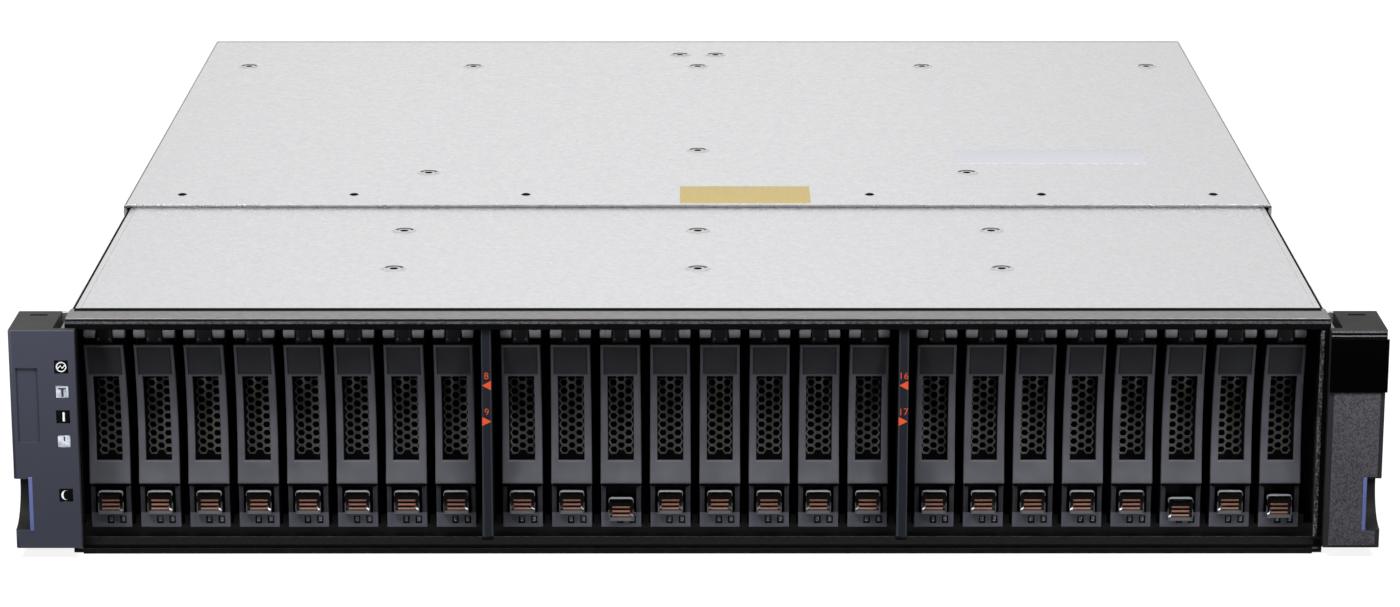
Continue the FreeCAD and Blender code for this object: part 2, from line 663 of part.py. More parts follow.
def cap_shell(face_edge):
    """A right-hand end cap: face plate, hollow body, top slot and scooped finger notch."""
    outside = RACK_WIDTH / 2
    face_back = CAP_FRONT + CAP_FACE_THICKNESS
    height = (CAP_BOTTOM, CAP_TOP)
    face = box((face_edge, outside), (CAP_FRONT, face_back), height)
    body = box((CAP_BODY_INSIDE, outside), (face_back, CAP_BACK), height)
    shell = joined([face, body])
    corner = [
        edge
        for edge in shell.Edges
        if edge.BoundBox.XMin > outside - CAP_WALL and edge.BoundBox.YMax < face_back
    ]
    upright = [edge for edge in corner if edge.BoundBox.ZLength > CAP_WALL]
    shell = shell.makeFillet(CAP_CORNER, upright)
    hollow_x = (CAP_BODY_INSIDE + CAP_WALL, outside - CAP_WALL)
    notch_floor = outside - NOTCH_WIDTH
    low_x = (CAP_BODY_INSIDE + CAP_WALL, notch_floor - CAP_WALL)
    split = NOTCH_TOP + CAP_WALL
    depth = (face_back, CAP_BACK)
    behind_notch = (CAP_FRONT + NOTCH_DEPTH + CAP_WALL, CAP_BACK)
    low_z = (CAP_BOTTOM + CAP_WALL, split)
    hollows = [
        box(hollow_x, depth, (split, CAP_TOP - CAP_WALL)),
        box(low_x, depth, low_z),
        box(hollow_x, behind_notch, low_z),
    ]
    slot_x = (outside - CAP_SLOT_OUTSET - CAP_SLOT_LENGTH, outside - CAP_SLOT_OUTSET)
    slot_y = (CAP_SLOT_STATION, CAP_SLOT_STATION + CAP_SLOT_WIDTH)
    hollows.append(box(slot_x, slot_y, (CAP_TOP - CAP_WALL, CAP_TOP)))
    hollows.append(finger_notch(notch_floor))
    for hollow in hollows:
        shell = shell.cut(hollow)
    return shell


def finger_notch(floor):
    """The finger notch: upright at the back, then an arc that runs out at the front."""
    outside = RACK_WIDTH / 2
    back = CAP_FRONT + NOTCH_DEPTH
    bend = NOTCH_TOP - NOTCH_STRAIGHT
    top_front = Vector(floor, CAP_FRONT, NOTCH_TOP)
    top_back = Vector(floor, back, NOTCH_TOP)
    low_back = Vector(floor, back, bend)
    low_front = Vector(floor, CAP_FRONT, NOTCH_BOTTOM)
    sweep = math.sqrt(0.5)
    drop = bend - NOTCH_BOTTOM
    on_arc = Vector(floor, CAP_FRONT + NOTCH_DEPTH * sweep, bend - drop * sweep)
    edges = [
        Part.LineSegment(low_front, top_front).toShape(),
        Part.LineSegment(top_front, top_back).toShape(),
        Part.LineSegment(top_back, low_back).toShape(),
        Part.Arc(low_back, on_arc, low_front).toShape(),
    ]
    return Part.Face(Part.Wire(edges)).extrude(Vector(outside - floor, 0, 0))


def left_end_cap():
    """The wider left cap, with a sunk panel and a column of square lamp windows."""
    cap = cap_shell(LEFT_CAP_FACE_EDGE)
    outside = RACK_WIDTH / 2
    panel_x = (outside - PANEL_OUTSET - PANEL_WIDTH, outside - PANEL_OUTSET)
    panel_y = (CAP_FRONT, CAP_FRONT + PANEL_RECESS)
    cap = cap.cut(box(panel_x, panel_y, (PANEL_BOTTOM, PANEL_TOP)))
    lamp_x = (LEFT_CAP_FACE_EDGE + LAMP_INSET, LEFT_CAP_FACE_EDGE + LAMP_INSET + LAMP_SIZE)
    lamp_y = (CAP_FRONT, CAP_FRONT + LAMP_RECESS)
    for bottom in LAMP_BOTTOMS:
        cap = cap.cut(box(lamp_x, lamp_y, (bottom, bottom + LAMP_SIZE)))
    return mirrored(cap)


def right_end_cap():
    """The narrower right cap, whose panel lies behind a slightly raised band."""
    cap = cap_shell(RIGHT_CAP_FACE_EDGE)
    outside = RACK_WIDTH / 2
    panel_x = (RIGHT_CAP_FACE_EDGE, outside)
    panel_y = (CAP_FRONT, CAP_FRONT + BAND_PROUD)
    above = box(panel_x, panel_y, (BAND_TOP, CAP_TOP))
    below = box(panel_x, panel_y, (CAP_BOTTOM, BAND_BOTTOM))
    return cap.cut(above).cut(below)


def main():
    os.makedirs("parts", exist_ok=True)
    place("chassis_tray", chassis_tray())
    place("front_top_cover", front_top_cover())
    place("rear_top_cover", rear_top_cover())
    place("front_frame", front_frame())
    place("drive_guides", drive_guides())
    place("midplane_board", midplane_board())
    place("left_end_cap", left_end_cap())
    place("right_end_cap", right_end_cap())
    place("right_controller", controller())
    place("left_controller", mirrored(controller()))
    place("right_power_module", power_module())
    place("left_power_module", mirrored(power_module()))
    sled_shape = sled()
    grille_shape = grille()
    handle_shape = carrier_handle()
    for bay in range(1, BAY_COUNT + 1):
        across = Vector(bay_middle(bay), 0, 0)
        latch_shape = latch(LATCH_DROPS.get(bay, 0.0))
        pieces = [sled_shape, drive(), grille_shape, latch_shape]
        carrier = Part.makeCompound([piece.translated(across) for piece in pieces])
        place("drive_carrier_%02d" % bay, carrier)
        place("carrier_handle_%02d" % bay, handle_shape.translated(across))


main()
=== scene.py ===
import math
from functools import reduce
from types import SimpleNamespace

import bmesh
import bpy
import numpy as np
from bpy.props import FloatProperty, FloatVectorProperty, PointerProperty
from mathutils import Matrix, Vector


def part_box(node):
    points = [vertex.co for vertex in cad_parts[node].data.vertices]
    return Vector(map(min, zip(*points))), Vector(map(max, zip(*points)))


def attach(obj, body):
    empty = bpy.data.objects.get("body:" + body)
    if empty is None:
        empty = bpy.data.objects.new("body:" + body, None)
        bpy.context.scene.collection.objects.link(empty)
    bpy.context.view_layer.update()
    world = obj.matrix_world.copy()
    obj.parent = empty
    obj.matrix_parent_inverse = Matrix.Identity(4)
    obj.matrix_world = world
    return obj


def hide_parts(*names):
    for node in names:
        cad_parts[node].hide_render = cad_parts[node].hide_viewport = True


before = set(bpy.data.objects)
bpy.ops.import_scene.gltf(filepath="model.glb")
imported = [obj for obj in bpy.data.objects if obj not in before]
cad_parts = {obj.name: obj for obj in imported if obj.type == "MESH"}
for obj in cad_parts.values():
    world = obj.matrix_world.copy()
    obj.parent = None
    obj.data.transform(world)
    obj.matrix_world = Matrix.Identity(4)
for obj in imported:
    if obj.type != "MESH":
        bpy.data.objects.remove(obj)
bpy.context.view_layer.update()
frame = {"nodes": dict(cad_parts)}

bl_info = {
    "name": "Rack storage array",
    "version": (1, 0, 0),
    "blender": (4, 5, 0),
    "location": "3D View > Sidebar > Array",
    "description": "Finishes and fine parts of a two-unit rack storage array",
    "category": "Object",
}

# Shapes and zones are in millimetres: X from the middle, Y behind the chassis front, Z above the underside.
MM = 0.001
FRAME_STANDS_PROUD = 2.0
FRONT_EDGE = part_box("front_frame")[0].y + FRAME_STANDS_PROUD * MM
BAYS = sorted(int(name[-2:]) for name in frame["nodes"] if name.startswith("drive_carrier_"))
BAYS_PER_GROUP = 8
SMOOTH_BELOW = math.radians(38)
SEAM = 0.03        # between neighbouring surfaces of one piece
SET_IN = 0.02      # how deep a fitting stands in the face that carries it


def in_metres(points):
    """Points of the frame, in metres, from points in millimetres behind the chassis front."""
    return np.asarray(points) * MM + (0, FRONT_EDGE, 0)


def box_of(name):
    """Low and high corners of a node's box, in millimetres behind the chassis front."""
    return (np.array([list(corner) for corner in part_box(name)]) - (0, FRONT_EDGE, 0)) / MM


COVER_TOP = box_of("front_top_cover")[1][2]
REAR_COVER_TOP = box_of("rear_top_cover")[1][2]


def bay_middle(bay):
    """X of the middle of a bay, from its carrier's box."""
    return box_of("drive_carrier_%02d" % bay)[:, 0].mean()


def post_middle(group):
    """X of the middle of the post after a group of bays."""
    last = group * BAYS_PER_GROUP
    return (bay_middle(last) + bay_middle(last + 1)) / 2


def on_side(side, near, far):
    """A range across, from its distances from the middle, on the left (-1) or the right (1)."""
    return tuple(sorted((side * near, side * far)))


def about(middle, width):
    """A range of a width about its middle."""
    return (middle - width / 2, middle + width / 2)


def linear(red, green, blue):
    """A screen colour from 0 to 255 as scene-linear values."""
    screen = np.array([red, green, blue]) / 255
    low = screen / 12.92
    high = ((screen + 0.055) / 1.055) ** 2.4
    return tuple(np.where(screen <= 0.04045, low, high))


def length(name, description, default):
    """A length in millimetres as a property in metres."""
    return FloatProperty(
        name=name, description=description, default=default * MM, min=0.0,
        unit="LENGTH", subtype="DISTANCE", precision=5,
    )


def colour(name, description, *screen):
    """A colour property whose default is a screen colour from 0 to 255."""
    return FloatVectorProperty(
        name=name, description=description, default=linear(*screen), min=0.0, max=1.0,
        size=3, subtype="COLOR",
    )


class ArraySizes(bpy.types.PropertyGroup):
    """Sizes of the fine parts."""

    handle_round: length("Handle round", "Radius of the round along the handle's outline", 0.7)
    handle_sink: length("Handle panel depth", "How far the handle's top panel is sunk", 0.45)
    comb_pitch: length("Comb pitch", "Distance between the rows of the vent honeycomb", 3.12)
    comb_hole: length("Comb hole", "Width of one honeycomb hole across its flats", 2.36)
    latch_rim: length("Highlight grey", "Width of the bead round a release latch", 0.24)
    latch_rib: length("Latch rib", "Height of one grip rib on a release latch", 0.62)
    lamp_width: length("Lamp width", "Width of a carrier's lamp window", 2.3)
    lamp_height: length("Lamp height", "Height of a carrier's lamp window", 2.8)
    screw_radius: length("Screw radius", "Radius of a flush cover screw's dish", 3.9)
    sticker: length("Sticker thickness", "Thickness of the stickers on the cover", 0.12)
    sheet_round: length("Sheet edge round", "Round on the edges of the steel sheets", 0.25)
    mould_round: length("Moulding round", "Round on the edges of the moulded caps", 0.5)


class ArrayColours(bpy.types.PropertyGroup):
    """Colours of the finishes."""

    steel: colour("Galvanised steel", "Covers and tray", 214, 214, 216)
    rail: colour("Front rail", "Bare rail ahead of the front cover", 122, 119, 120)
    module: colour("Module steel", "Rear modules", 190, 192, 194)
    frame: colour("Front frame", "Black frame round the bays", 8, 8, 10)
    post: colour("Frame post", "Posts between the bay groups", 35, 38, 44)
    carrier: colour("Carrier plastic", "Moulded sled and its block", 72, 73, 82)
    handle: colour("Handle plastic", "Hinged carrier handle", 82, 83, 89)
    # The lug's pale tone is painted light: the lugs are the handle's grey plastic, lightened against the
    # frame's shadow.
    lug: colour("Hinge lug", "Lugs that carry the handle", 188, 188, 192)
    comb: colour("Honeycomb", "Vent grille", 112, 111, 110)
    latch: colour("Latch body", "Release latch", 16, 12, 12)
    # This grey is painted highlight: on the latch and along the lit edges of the frame, the right cap and
    # the tray's lip.
    rim: colour("Highlight grey", "Bead round the latch, and worn edges", 160, 162, 166)
    rib: colour("Latch ribs", "Grip ribs of the latch", 128, 90, 77)
    lens: colour("Lamp lens", "Unlit lamp lens", 92, 93, 100)
    cap: colour("Left cap", "Left end cap", 63, 66, 78)
    cap_right: colour("Right cap", "Right end cap's panel", 66, 65, 71)
    band: colour("Gloss band", "Band across the right cap", 5, 5, 6)
    strip: colour("Notch strip", "Strip beside the finger notches", 94, 105, 157)
    mark: colour("White marks", "Signs in the lamp windows", 250, 250, 252)
    cap_body: colour("Cap body", "Sides and tops of both end caps", 44, 43, 42)
    frosted: colour("Frosted lens", "Pale lamp window", 232, 236, 250)
    number: colour("Bay numbers", "Numbers and arrows on the posts", 226, 84, 50)
    amber: colour("Amber sticker", "Blank sticker on the seam", 172, 153, 98)
    pale: colour("Pale sticker", "Blank label on the rear cover", 184, 185, 191)
    board: colour("Circuit board", "Midplane board", 22, 74, 44)
    gold: colour("Contacts", "Gilded contacts in the sockets", 214, 178, 96)


def settings(context):
    """The user's sizes as plain numbers in millimetres, and the user's colours."""
    group = context.scene.array_sizes
    sizes = {key: getattr(group, key) / MM for key in ArraySizes.__annotations__}
    return SimpleNamespace(**sizes), context.scene.array_colours


# Shapes


def round_over(distance, radius):
    """How far a face falls back at a distance inside an edge: a quarter circle of the radius."""
    inset = np.clip(radius - distance, 0, radius)
    return radius - np.sqrt(radius**2 - inset**2)


def edge_lines(low, high, radius, steps=4):
    """Grid lines inside both ends of a span, at equal turns of a quarter circle."""
    turn = np.linspace(0, math.pi / 2, steps + 1)
    inside = radius * (1 - np.cos(turn))
    return np.concatenate([low + inside, high - inside])


def banked(span, width):
    """Grid lines at both ends of a span and at the top of a bank inside each."""
    return np.array([span[0], span[0] + width, span[1] - width, span[1]])


def lines(*groups):
    """All given grid lines in order, each once."""
    return np.unique(np.round(np.concatenate([np.atleast_1d(group) for group in groups]), 5))


def depth_in(across, up, span, rise):
    """Distance of each grid point from the nearest edge of a rectangle, positive inside it."""
    side = np.minimum(across - span[0], span[1] - across)
    end = np.minimum(up - rise[0], rise[1] - up)
    return np.minimum(side[:, None], end[None, :])


def edge_fall(across, up, span, rise, radius):
    """Depth lost over a grid to a quarter round along all four edges of a rectangle."""
    return round_over(depth_in(across, up, span, rise), radius) if radius else 0.0


def bank(across, up, span, rise, width):
    """Nought outside a rectangle, rising evenly to one over a bank inside its edges."""
    return np.clip(depth_in(across, up, span, rise) / width, 0, 1)


def cells(across, up, span, rise):
    """Which cells of a grid have their middle inside a rectangle."""
    return depth_in((across[:-1] + across[1:]) / 2, (up[:-1] + up[1:]) / 2, span, rise) > 0


def facing_front(across, up, depth):
    """A grid seen from the front, whose depth runs to the rear."""
    return np.stack([across, depth, up], axis=-1)


def facing_up(across, up, depth):
    """A grid seen from above, whose depth runs down from zero height."""
    return np.stack([across, up, -depth], axis=-1)


def facing_rear(across, up, depth):
    """A grid seen from behind, whose depth runs to the front from the chassis front."""
    return np.stack([-across, -depth, up], axis=-1)


def facing_right(across, up, depth):
    """A grid seen from the right, whose depth runs to the left from the middle."""
    return np.stack([-depth, across, up], axis=-1)


def facing_left(across, up, depth):
    """A grid seen from the left, whose depth runs to the right from the middle."""
    return np.stack([depth, -across, up], axis=-1)


class Shell:
    """Closed surfaces gathered into one mesh, each face with the number of its finish."""

    def __init__(self):
        self.points = []
        self.faces = []
        self.finishes = []
        self.count = 0

    def add(self, points, faces, finish=0):
        """Take in points and faces; finish is one number, or one for each face."""
        points = np.asarray(points, float).reshape(-1, 3)
        faces = [[corner + self.count for corner in face] for face in faces]
        self.points.append(points)
        self.faces += faces
        self.finishes += np.broadcast_to(finish, len(faces)).tolist()
        self.count += len(points)

    def plate(self, facing, across, up, front, back, keep=None, finish=0, wall=None):
        """A plate over a grid: front and back give its depth at each grid point, cells that
        aren't kept are open, and walls join front to back along every open edge. The walls
        take a finish of their own if one is given."""
        shape = (len(across), len(up))
        front = np.broadcast_to(front, shape)
        back = np.broadcast_to(back, shape)
        keep = np.ones((shape[0] - 1, shape[1] - 1), bool) if keep is None else keep
        finish = np.broadcast_to(finish, keep.shape)
        wide, high = np.meshgrid(across, up, indexing="ij")
        points = np.concatenate([facing(wide, high, face).reshape(-1, 3) for face in (front, back)])
        index = np.arange(front.size).reshape(shape)
        a, b, c, d = index[:-1, :-1], index[1:, :-1], index[1:, 1:], index[:-1, 1:]
        e, f, g, h = (corner + front.size for corner in (a, b, c, d))
        padded = np.pad(keep, 1)
        sides = [
            (keep, (a, b, c, d)),
            (keep, (h, g, f, e)),
            (keep & ~padded[:-2, 1:-1], (a, d, h, e)),
            (keep & ~padded[2:, 1:-1], (c, b, f, g)),
            (keep & ~padded[1:-1, :-2], (a, e, f, b)),
            (keep & ~padded[1:-1, 2:], (d, c, g, h)),
        ]
        walls = finish if wall is None else np.full(keep.shape, wall)
        faces = np.concatenate([np.stack(ring, axis=-1)[where] for where, ring in sides])
        finishes = np.concatenate([finish[where] for where, ring in sides[:2]]
                                  + [walls[where] for where, ring in sides[2:]])
        used, numbers = np.unique(faces, return_inverse=True)
        self.add(points[used], numbers.reshape(-1, 4).tolist(), finishes)

    def block(self, facing, span, rise, depth, radius=0.0, finish=0):
        """A block between low and high values, its front edges rounded to the radius."""
        across = lines(edge_lines(*span, radius)) if radius else np.array(span)
        up = lines(edge_lines(*rise, radius)) if radius else np.array(rise)
        front = depth[0] + edge_fall(across, up, span, rise, radius)
        self.plate(facing, across, up, front, depth[1], finish=finish)

    def pierced(self, facing, outline, hole, depth, radius, steps, finish=0):
        """A plate between two depths, rounded along its outline and open in a rectangle."""
        across = lines(edge_lines(*outline[0], radius, steps), hole[0])
        up = lines(edge_lines(*outline[1], radius, steps), hole[1])
        front = depth[0] + edge_fall(across, up, *outline, radius)
        self.plate(facing, across, up, front, depth[1], ~cells(across, up, *hole), finish)

    def turned(self, radii, heights, place, segments=20, finish=0, axis=facing_up):
        """A profile of radius and height turned about an axis through a place. The profile
        starts at the foot, runs outwards and up, and ends at the crown."""
        angle = np.linspace(0, 2 * math.pi, segments, endpoint=False)
        radii = np.asarray(radii)[:, None]
        heights = np.broadcast_to(np.asarray(heights)[:, None], (len(radii), segments))
        points = axis(radii * np.cos(angle), radii * np.sin(angle), -heights)
        self.grid(points + np.asarray(place), finish, wrap=True)

    def dome(self, radius, height, place, segments, finish, axis, steps=5):
        """A quarter ellipse turned about an axis through a place, its foot set in a little."""
        turn = np.linspace(0, math.pi / 2, steps)
        self.turned(radius * np.cos(turn), height * np.sin(turn) - SET_IN, place, segments, finish, axis)

    def grid(self, points, finish=0, wrap=False):
        """Quads between the neighbours of a grid of points; wrap joins its last column to its first."""
        rows, columns = points.shape[:2]
        index = np.arange(rows * columns).reshape(rows, columns)
        index = np.hstack([index, index[:, :1]]) if wrap else index
        ring = [index[:-1, :-1], index[:-1, 1:], index[1:, 1:], index[1:, :-1]]
        self.add(points, np.stack(ring, axis=-1).reshape(-1, 4).tolist(), finish)

    def mesh(self, name, materials):
        """The gathered surfaces as one mesh, with its doubles merged and its sharp edges marked."""
        mesh = bpy.data.meshes.new(name)
        mesh.from_pydata(in_metres(np.concatenate(self.points)).tolist(), [], self.faces)
        mesh.polygons.foreach_set("material_index", self.finishes)
        shape = bmesh.new()
        shape.from_mesh(mesh)
        bmesh.ops.remove_doubles(shape, verts=shape.verts, dist=0.0005 * MM)
        shape.to_mesh(mesh)
        shape.free()
        for material in materials:
            mesh.materials.append(material)
        mesh.shade_smooth()
        mesh.set_sharp_from_angle(angle=SMOOTH_BELOW)
        return mesh


def piece(name, mesh, body, slot, *replaced, shift=(0, 0, 0)):
    """A new object from a mesh, or from a shifted copy of it, that rides on a body."""
    if any(shift):
        mesh = mesh.copy()
        mesh.transform(Matrix.Translation([way * MM for way in shift]))
    made = bpy.data.objects.new(name, mesh)
    bpy.context.scene.collection.objects.link(made)
    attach(made, body)
    if replaced:
        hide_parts(*replaced)


def fitted(name, shell, materials, slot, body="chassis"):
    """A piece made of a shell, which rides on the chassis unless another body is given."""
    piece(name, shell.mesh(name, materials), body, slot)


def dress(name, material, radius, segments=2):
    """Give a node its finish, merge its loose triangles and round its sharp edges."""
    node = frame["nodes"][name]
    node.data.materials.clear()
    node.data.materials.append(material)
    merge = node.modifiers.new("Merge", "WELD")
    merge.merge_threshold = 0.001 * MM
    edges = node.modifiers.new("Edges", "BEVEL")
    edges.width = radius * MM
    edges.segments = segments
    edges.limit_method = "ANGLE"
    edges.angle_limit = math.radians(40)
    edges.harden_normals = True


# Finishes

# Zones of the dressed nodes that have a tone of their own, among them painted highlights and
# painted shade, and where the caps and modules end
FRONT_RAIL = {"Y": (-5, 13.25), "Z": (80, 90)}
FLOOR_LIP = {"Y": (-5, 0.6), "Z": (-1, 4)}
LIP_HIGHLIGHT = {"Y": (-5, -1), "Z": (1.9, 2.4)}
FLANGE = {"Y": (13.3, 166), "Z": (85, 86)}
FLANGE_ACROSS = (218, 222.3)
POST_FACE = {"Y": (-1.1, 0), "Z": (6.4, 82.5)}
POSTS_ACROSS = (-150, 150)
POST_HALF = 1.75
# Width of the painted highlight along each edge of a post
POST_HIGHLIGHT = 1.0
# Painted highlights along the frame's top and sill edges
TOP_HIGHLIGHT = {"Y": (-3, 0.1), "Z": (84.8, 85.5)}
SILL_HIGHLIGHT = {"Y": (-3, 0.1), "Z": (5.9, 6.35)}
CAP_FACE = -7.0
CAP_FRONT = {"Y": (CAP_FACE - 3, CAP_FACE + 1.3)}
CAP_SLOT_SHADE = ((229.8, 236.9), {"Y": (12.8, 15.2), "Z": (78.0, 83.5)})
CAP_NOTCH = ((234.5, 242.0), {"Y": (-6.6, 25.0), "Z": (9.6, 30.8)})
BOARD = {"Y": (159.9, 162.5)}
REAR_FACE = 489.0
GRIP = {"Y": (REAR_FACE + 0.3, REAR_FACE + 60)}


class Patterns:
    """Patterns and mixtures in a node tree."""

    def __init__(self, tree):
        self.tree = tree

    def feed(self, socket, value):
        """Link a socket to a node's output, or fix its value."""
        if isinstance(value, bpy.types.NodeSocket):
            self.tree.links.new(value, socket)
        else:
            socket.default_value = value

    def node(self, kind, inputs, **options):
        """The outputs of a new node, whose inputs are each fixed or fed by an output."""
        made = self.tree.nodes.new("ShaderNode" + kind)
        for key, value in options.items():
            setattr(made, key, value)
        for key, value in inputs.items():
            self.feed(made.inputs[key], value)
        return made.outputs

    def worked(self, operation, *values):
        """The result of one arithmetic operation on fixed values and outputs."""
        return self.node("Math", dict(enumerate(values)), operation=operation)["Value"]

    def place(self, stretch=(1, 1, 1)):
        """The place on the piece, in metres, stretched along each axis."""
        source = self.node("TexCoord", {})["Object"]
        return self.node("Mapping", {"Vector": source, "Scale": stretch})["Vector"]

    def along(self, axis):
        """The place on the piece along one axis, in metres."""
        return self.node("SeparateXYZ", {"Vector": self.place()})[axis]

    def noise(self, scale, detail=3.0, stretch=(1, 1, 1)):
        """Cloudy noise with a number of waves per metre."""
        inputs = {"Vector": self.place(stretch), "Scale": scale, "Detail": detail}
        return self.node("TexNoise", inputs)["Fac"]

    def crystals(self, scale):
        """Flat patches of random tone, like zinc crystals, with a number per metre."""
        patch = self.node("TexVoronoi", {"Vector": self.place(), "Scale": scale})["Color"]
        return self.node("SeparateColor", {"Color": patch})["Red"]

    def spread(self, factor, low, high, start=0.3, end=0.7):
        """A value between low and high as the factor goes from start to end."""
        inputs = {"Value": factor, "From Min": start, "From Max": end, "To Min": low, "To Max": high}
        return self.node("MapRange", inputs)["Result"]

    def blend(self, factor, *ends):
        """A colour between two, each a fixed colour or another node's output."""
        first, second = (end if isinstance(end, bpy.types.NodeSocket) else (*end, 1) for end in ends)
        return self.node("Mix", {"Factor": factor, "A": first, "B": second}, data_type="RGBA")["Result"]

    def within(self, axis, low, high):
        """One where the place on the piece lies between two values of an axis, else nought."""
        start = FRONT_EDGE if axis == "Y" else 0.0
        return self.worked("COMPARE", self.along(axis), start + (low + high) / 2 * MM, (high - low) / 2 * MM)

    def zone(self, **spans):
        """One inside a box given by ranges along X, Y and Z, of which some may be left open."""
        factors = [self.within(axis, *span) for axis, span in spans.items()]
        return reduce(lambda first, second: self.worked("MULTIPLY", first, second), factors)

    def risen(self, low, high):
        """Nought at one height on the piece, one at another."""
        return self.spread(self.along("Z"), 0, 1, low * MM, high * MM)


class Finish(Patterns):
    """A new material, whose main shader is fed with patterns."""

    def __init__(self, name):
        self.material = bpy.data.materials.new(name)
        self.material.use_nodes = True
        super().__init__(self.material.node_tree)
        self.shader = self.tree.nodes["Principled BSDF"]

    def grain(self, height, strength, depth):
        """Raise the surface by a height pattern of a depth in millimetres."""
        inputs = {"Height": height, "Strength": strength, "Distance": depth * MM}
        self.feed(self.shader.inputs["Normal"], self.node("Bump", inputs)["Normal"])

    def coat(self, tone, rough, shine=0.5, metal=0.0):
        """Set the colour, roughness, shine and metal, each fixed or a pattern; gives the material."""
        inputs = {"Base Color": tone, "Roughness": rough, "Specular IOR Level": shine, "Metallic": metal}
        for key, value in inputs.items():
            self.feed(self.shader.inputs[key], value)
        return self.material


def toned(base, share):
    """A colour made lighter or darker by a share."""
    return tuple(min(1.0, part * share) for part in base)


def moulded(name, base, rough=0.55, shine=0.3):
    """Moulded plastic: a fine even grain, and a cloudy tone that also changes its sheen."""
    made = Finish(name)
    cloud = made.noise(90, 5)
    tone = made.blend(made.spread(cloud, 0, 1), toned(base, 0.86), toned(base, 1.14))
    made.grain(made.noise(1400, 2), 0.5, 0.03)
    return made.coat(tone, made.spread(cloud, rough - 0.05, rough + 0.05), shine)


def faded(name, base, low, high):
    """Moulded plastic, dusty and pale at one height, and darkened by painted shade at a lower one."""
    made = Finish(name)
    cloud = made.noise(500, 4, (1, 1, 0.2))
    pale = made.blend(made.spread(cloud, 0, 1), toned(base, 0.8), base)
    # Painted shade: dark below the low height, pale above the high one.
    tone = made.blend(made.risen(low, high), toned(base, 0.15), pale)
    return made.coat(tone, made.spread(cloud, 0.5, 0.65), 0.2)


def speckled(name, dark, pale, scale=1700, start=0.38, end=0.62):
    """Textured plastic: pale specks over a darker ground, spread by where the noise starts and ends."""
    made = Finish(name)
    specks = made.noise(scale)
    tone = made.blend(made.spread(specks, 0, 1, start, end), dark, pale)
    made.grain(specks, 0.7, 0.06)
    return made.coat(tone, made.spread(specks, 0.5, 0.7), 0.3)


def zinc_sheet(made, base):
    """Galvanised sheet: faint crystals a few millimetres wide under a fine rolled grain."""
    patch = made.spread(made.crystals(380), 0.35, 0.65, 0, 1)
    rolled = made.spread(made.noise(620, 6, (1, 0.55, 1)), 0, 1, 0.25, 0.75)
    flakes = made.blend(patch, toned(base, 0.93), toned(base, 1.06))
    made.grain(made.noise(900, 4, (1, 0.5, 1)), 0.1, 0.02)
    return made.blend(made.spread(rolled, 0.0, 0.9, 0, 1), flakes, toned(base, 0.86))


def cover_zinc(name, base, cover, inset):
    """A cover's galvanised steel with its uneven sheen; painted shade darkens it along its cut edges
    and as far in from its sides as the inset, and less on its front edge face."""
    made = Finish(name)
    low, high = box_of(cover)
    inner = made.zone(X=(low[0] + inset, high[0] - inset), Y=(low[1] + 0.3, high[1] - 2.2))
    lip = made.zone(Y=(low[1] - 1, low[1] + 0.3), Z=(high[2] - 0.75, high[2] + 1))
    skirt = made.zone(Z=(low[2] - 1, high[2] - 1.3))
    sheet = zinc_sheet(made, base)
    # Painted shade: dark outside the inner zone, lighter on the front edge face.
    edge_shaded = made.blend(inner, toned(base, 0.25), sheet)
    edge_shaded = made.blend(lip, edge_shaded, toned(base, 0.6))
    tone = made.blend(skirt, edge_shaded, sheet)
    return made.coat(tone, made.spread(made.noise(300, 5), 0.24, 0.36), metal=0.85)


def tray_steel(name, colours):
    """The tray's zinc, with its darker front rail, dull wall flanges and black painted front lip,
    whose top edge carries grey specks of painted highlight.
    """
    made = Finish(name)
    dull = made.blend(made.noise(500, 4), toned(colours.rail, 0.93), toned(colours.rail, 1.05))
    bare = made.blend(made.zone(**FRONT_RAIL), zinc_sheet(made, colours.steel), dull)
    for side in (-1, 1):
        flange = made.zone(X=on_side(side, *FLANGE_ACROSS), **FLANGE)
        bare = made.blend(flange, bare, toned(colours.steel, 0.6))
    # Grey specks along the lip's top edge are a painted highlight.
    painted = made.blend(made.zone(**LIP_HIGHLIGHT), colours.frame, toned(colours.rim, 0.07))
    lip = made.zone(**FLOOR_LIP)
    tone = made.blend(lip, bare, painted)
    metal = made.spread(lip, 0.85, 0.0, 0, 1)
    return made.coat(tone, made.spread(made.noise(300, 5), 0.28, 0.4), metal=metal)


def frame_plastic(name, colours):
    """The frame's black paint: greyer posts with a painted highlight along their edges, and grey
    specks of painted highlight along its top and sill edges."""
    made = Finish(name)
    specks = made.noise(900)
    tone = made.blend(made.zone(X=POSTS_ACROSS, **POST_FACE), colours.frame, colours.post)
    # Paler strips along each post's edges are a painted highlight.
    for group in (1, 2):
        for side in (-1, 1):
            strip = about(post_middle(group) + side * POST_HALF, POST_HIGHLIGHT)
            tone = made.blend(made.zone(X=strip, **POST_FACE), tone, toned(colours.post, 2.1))
    highlighted = made.spread(specks, 0, 1, 0.35, 0.65)
    grey = made.blend(highlighted, toned(colours.rim, 0.05), toned(colours.rim, 0.2))
    faint = made.blend(highlighted, colours.frame, toned(colours.rim, 0.07))
    # Grey specks along the top and sill edges are a painted highlight.
    tone = made.blend(made.zone(**TOP_HIGHLIGHT), tone, grey)
    tone = made.blend(made.zone(**SILL_HIGHLIGHT), tone, faint)
    made.grain(specks, 0.5, 0.03)
    return made.coat(tone, made.spread(specks, 0.5, 0.62), 0.05)


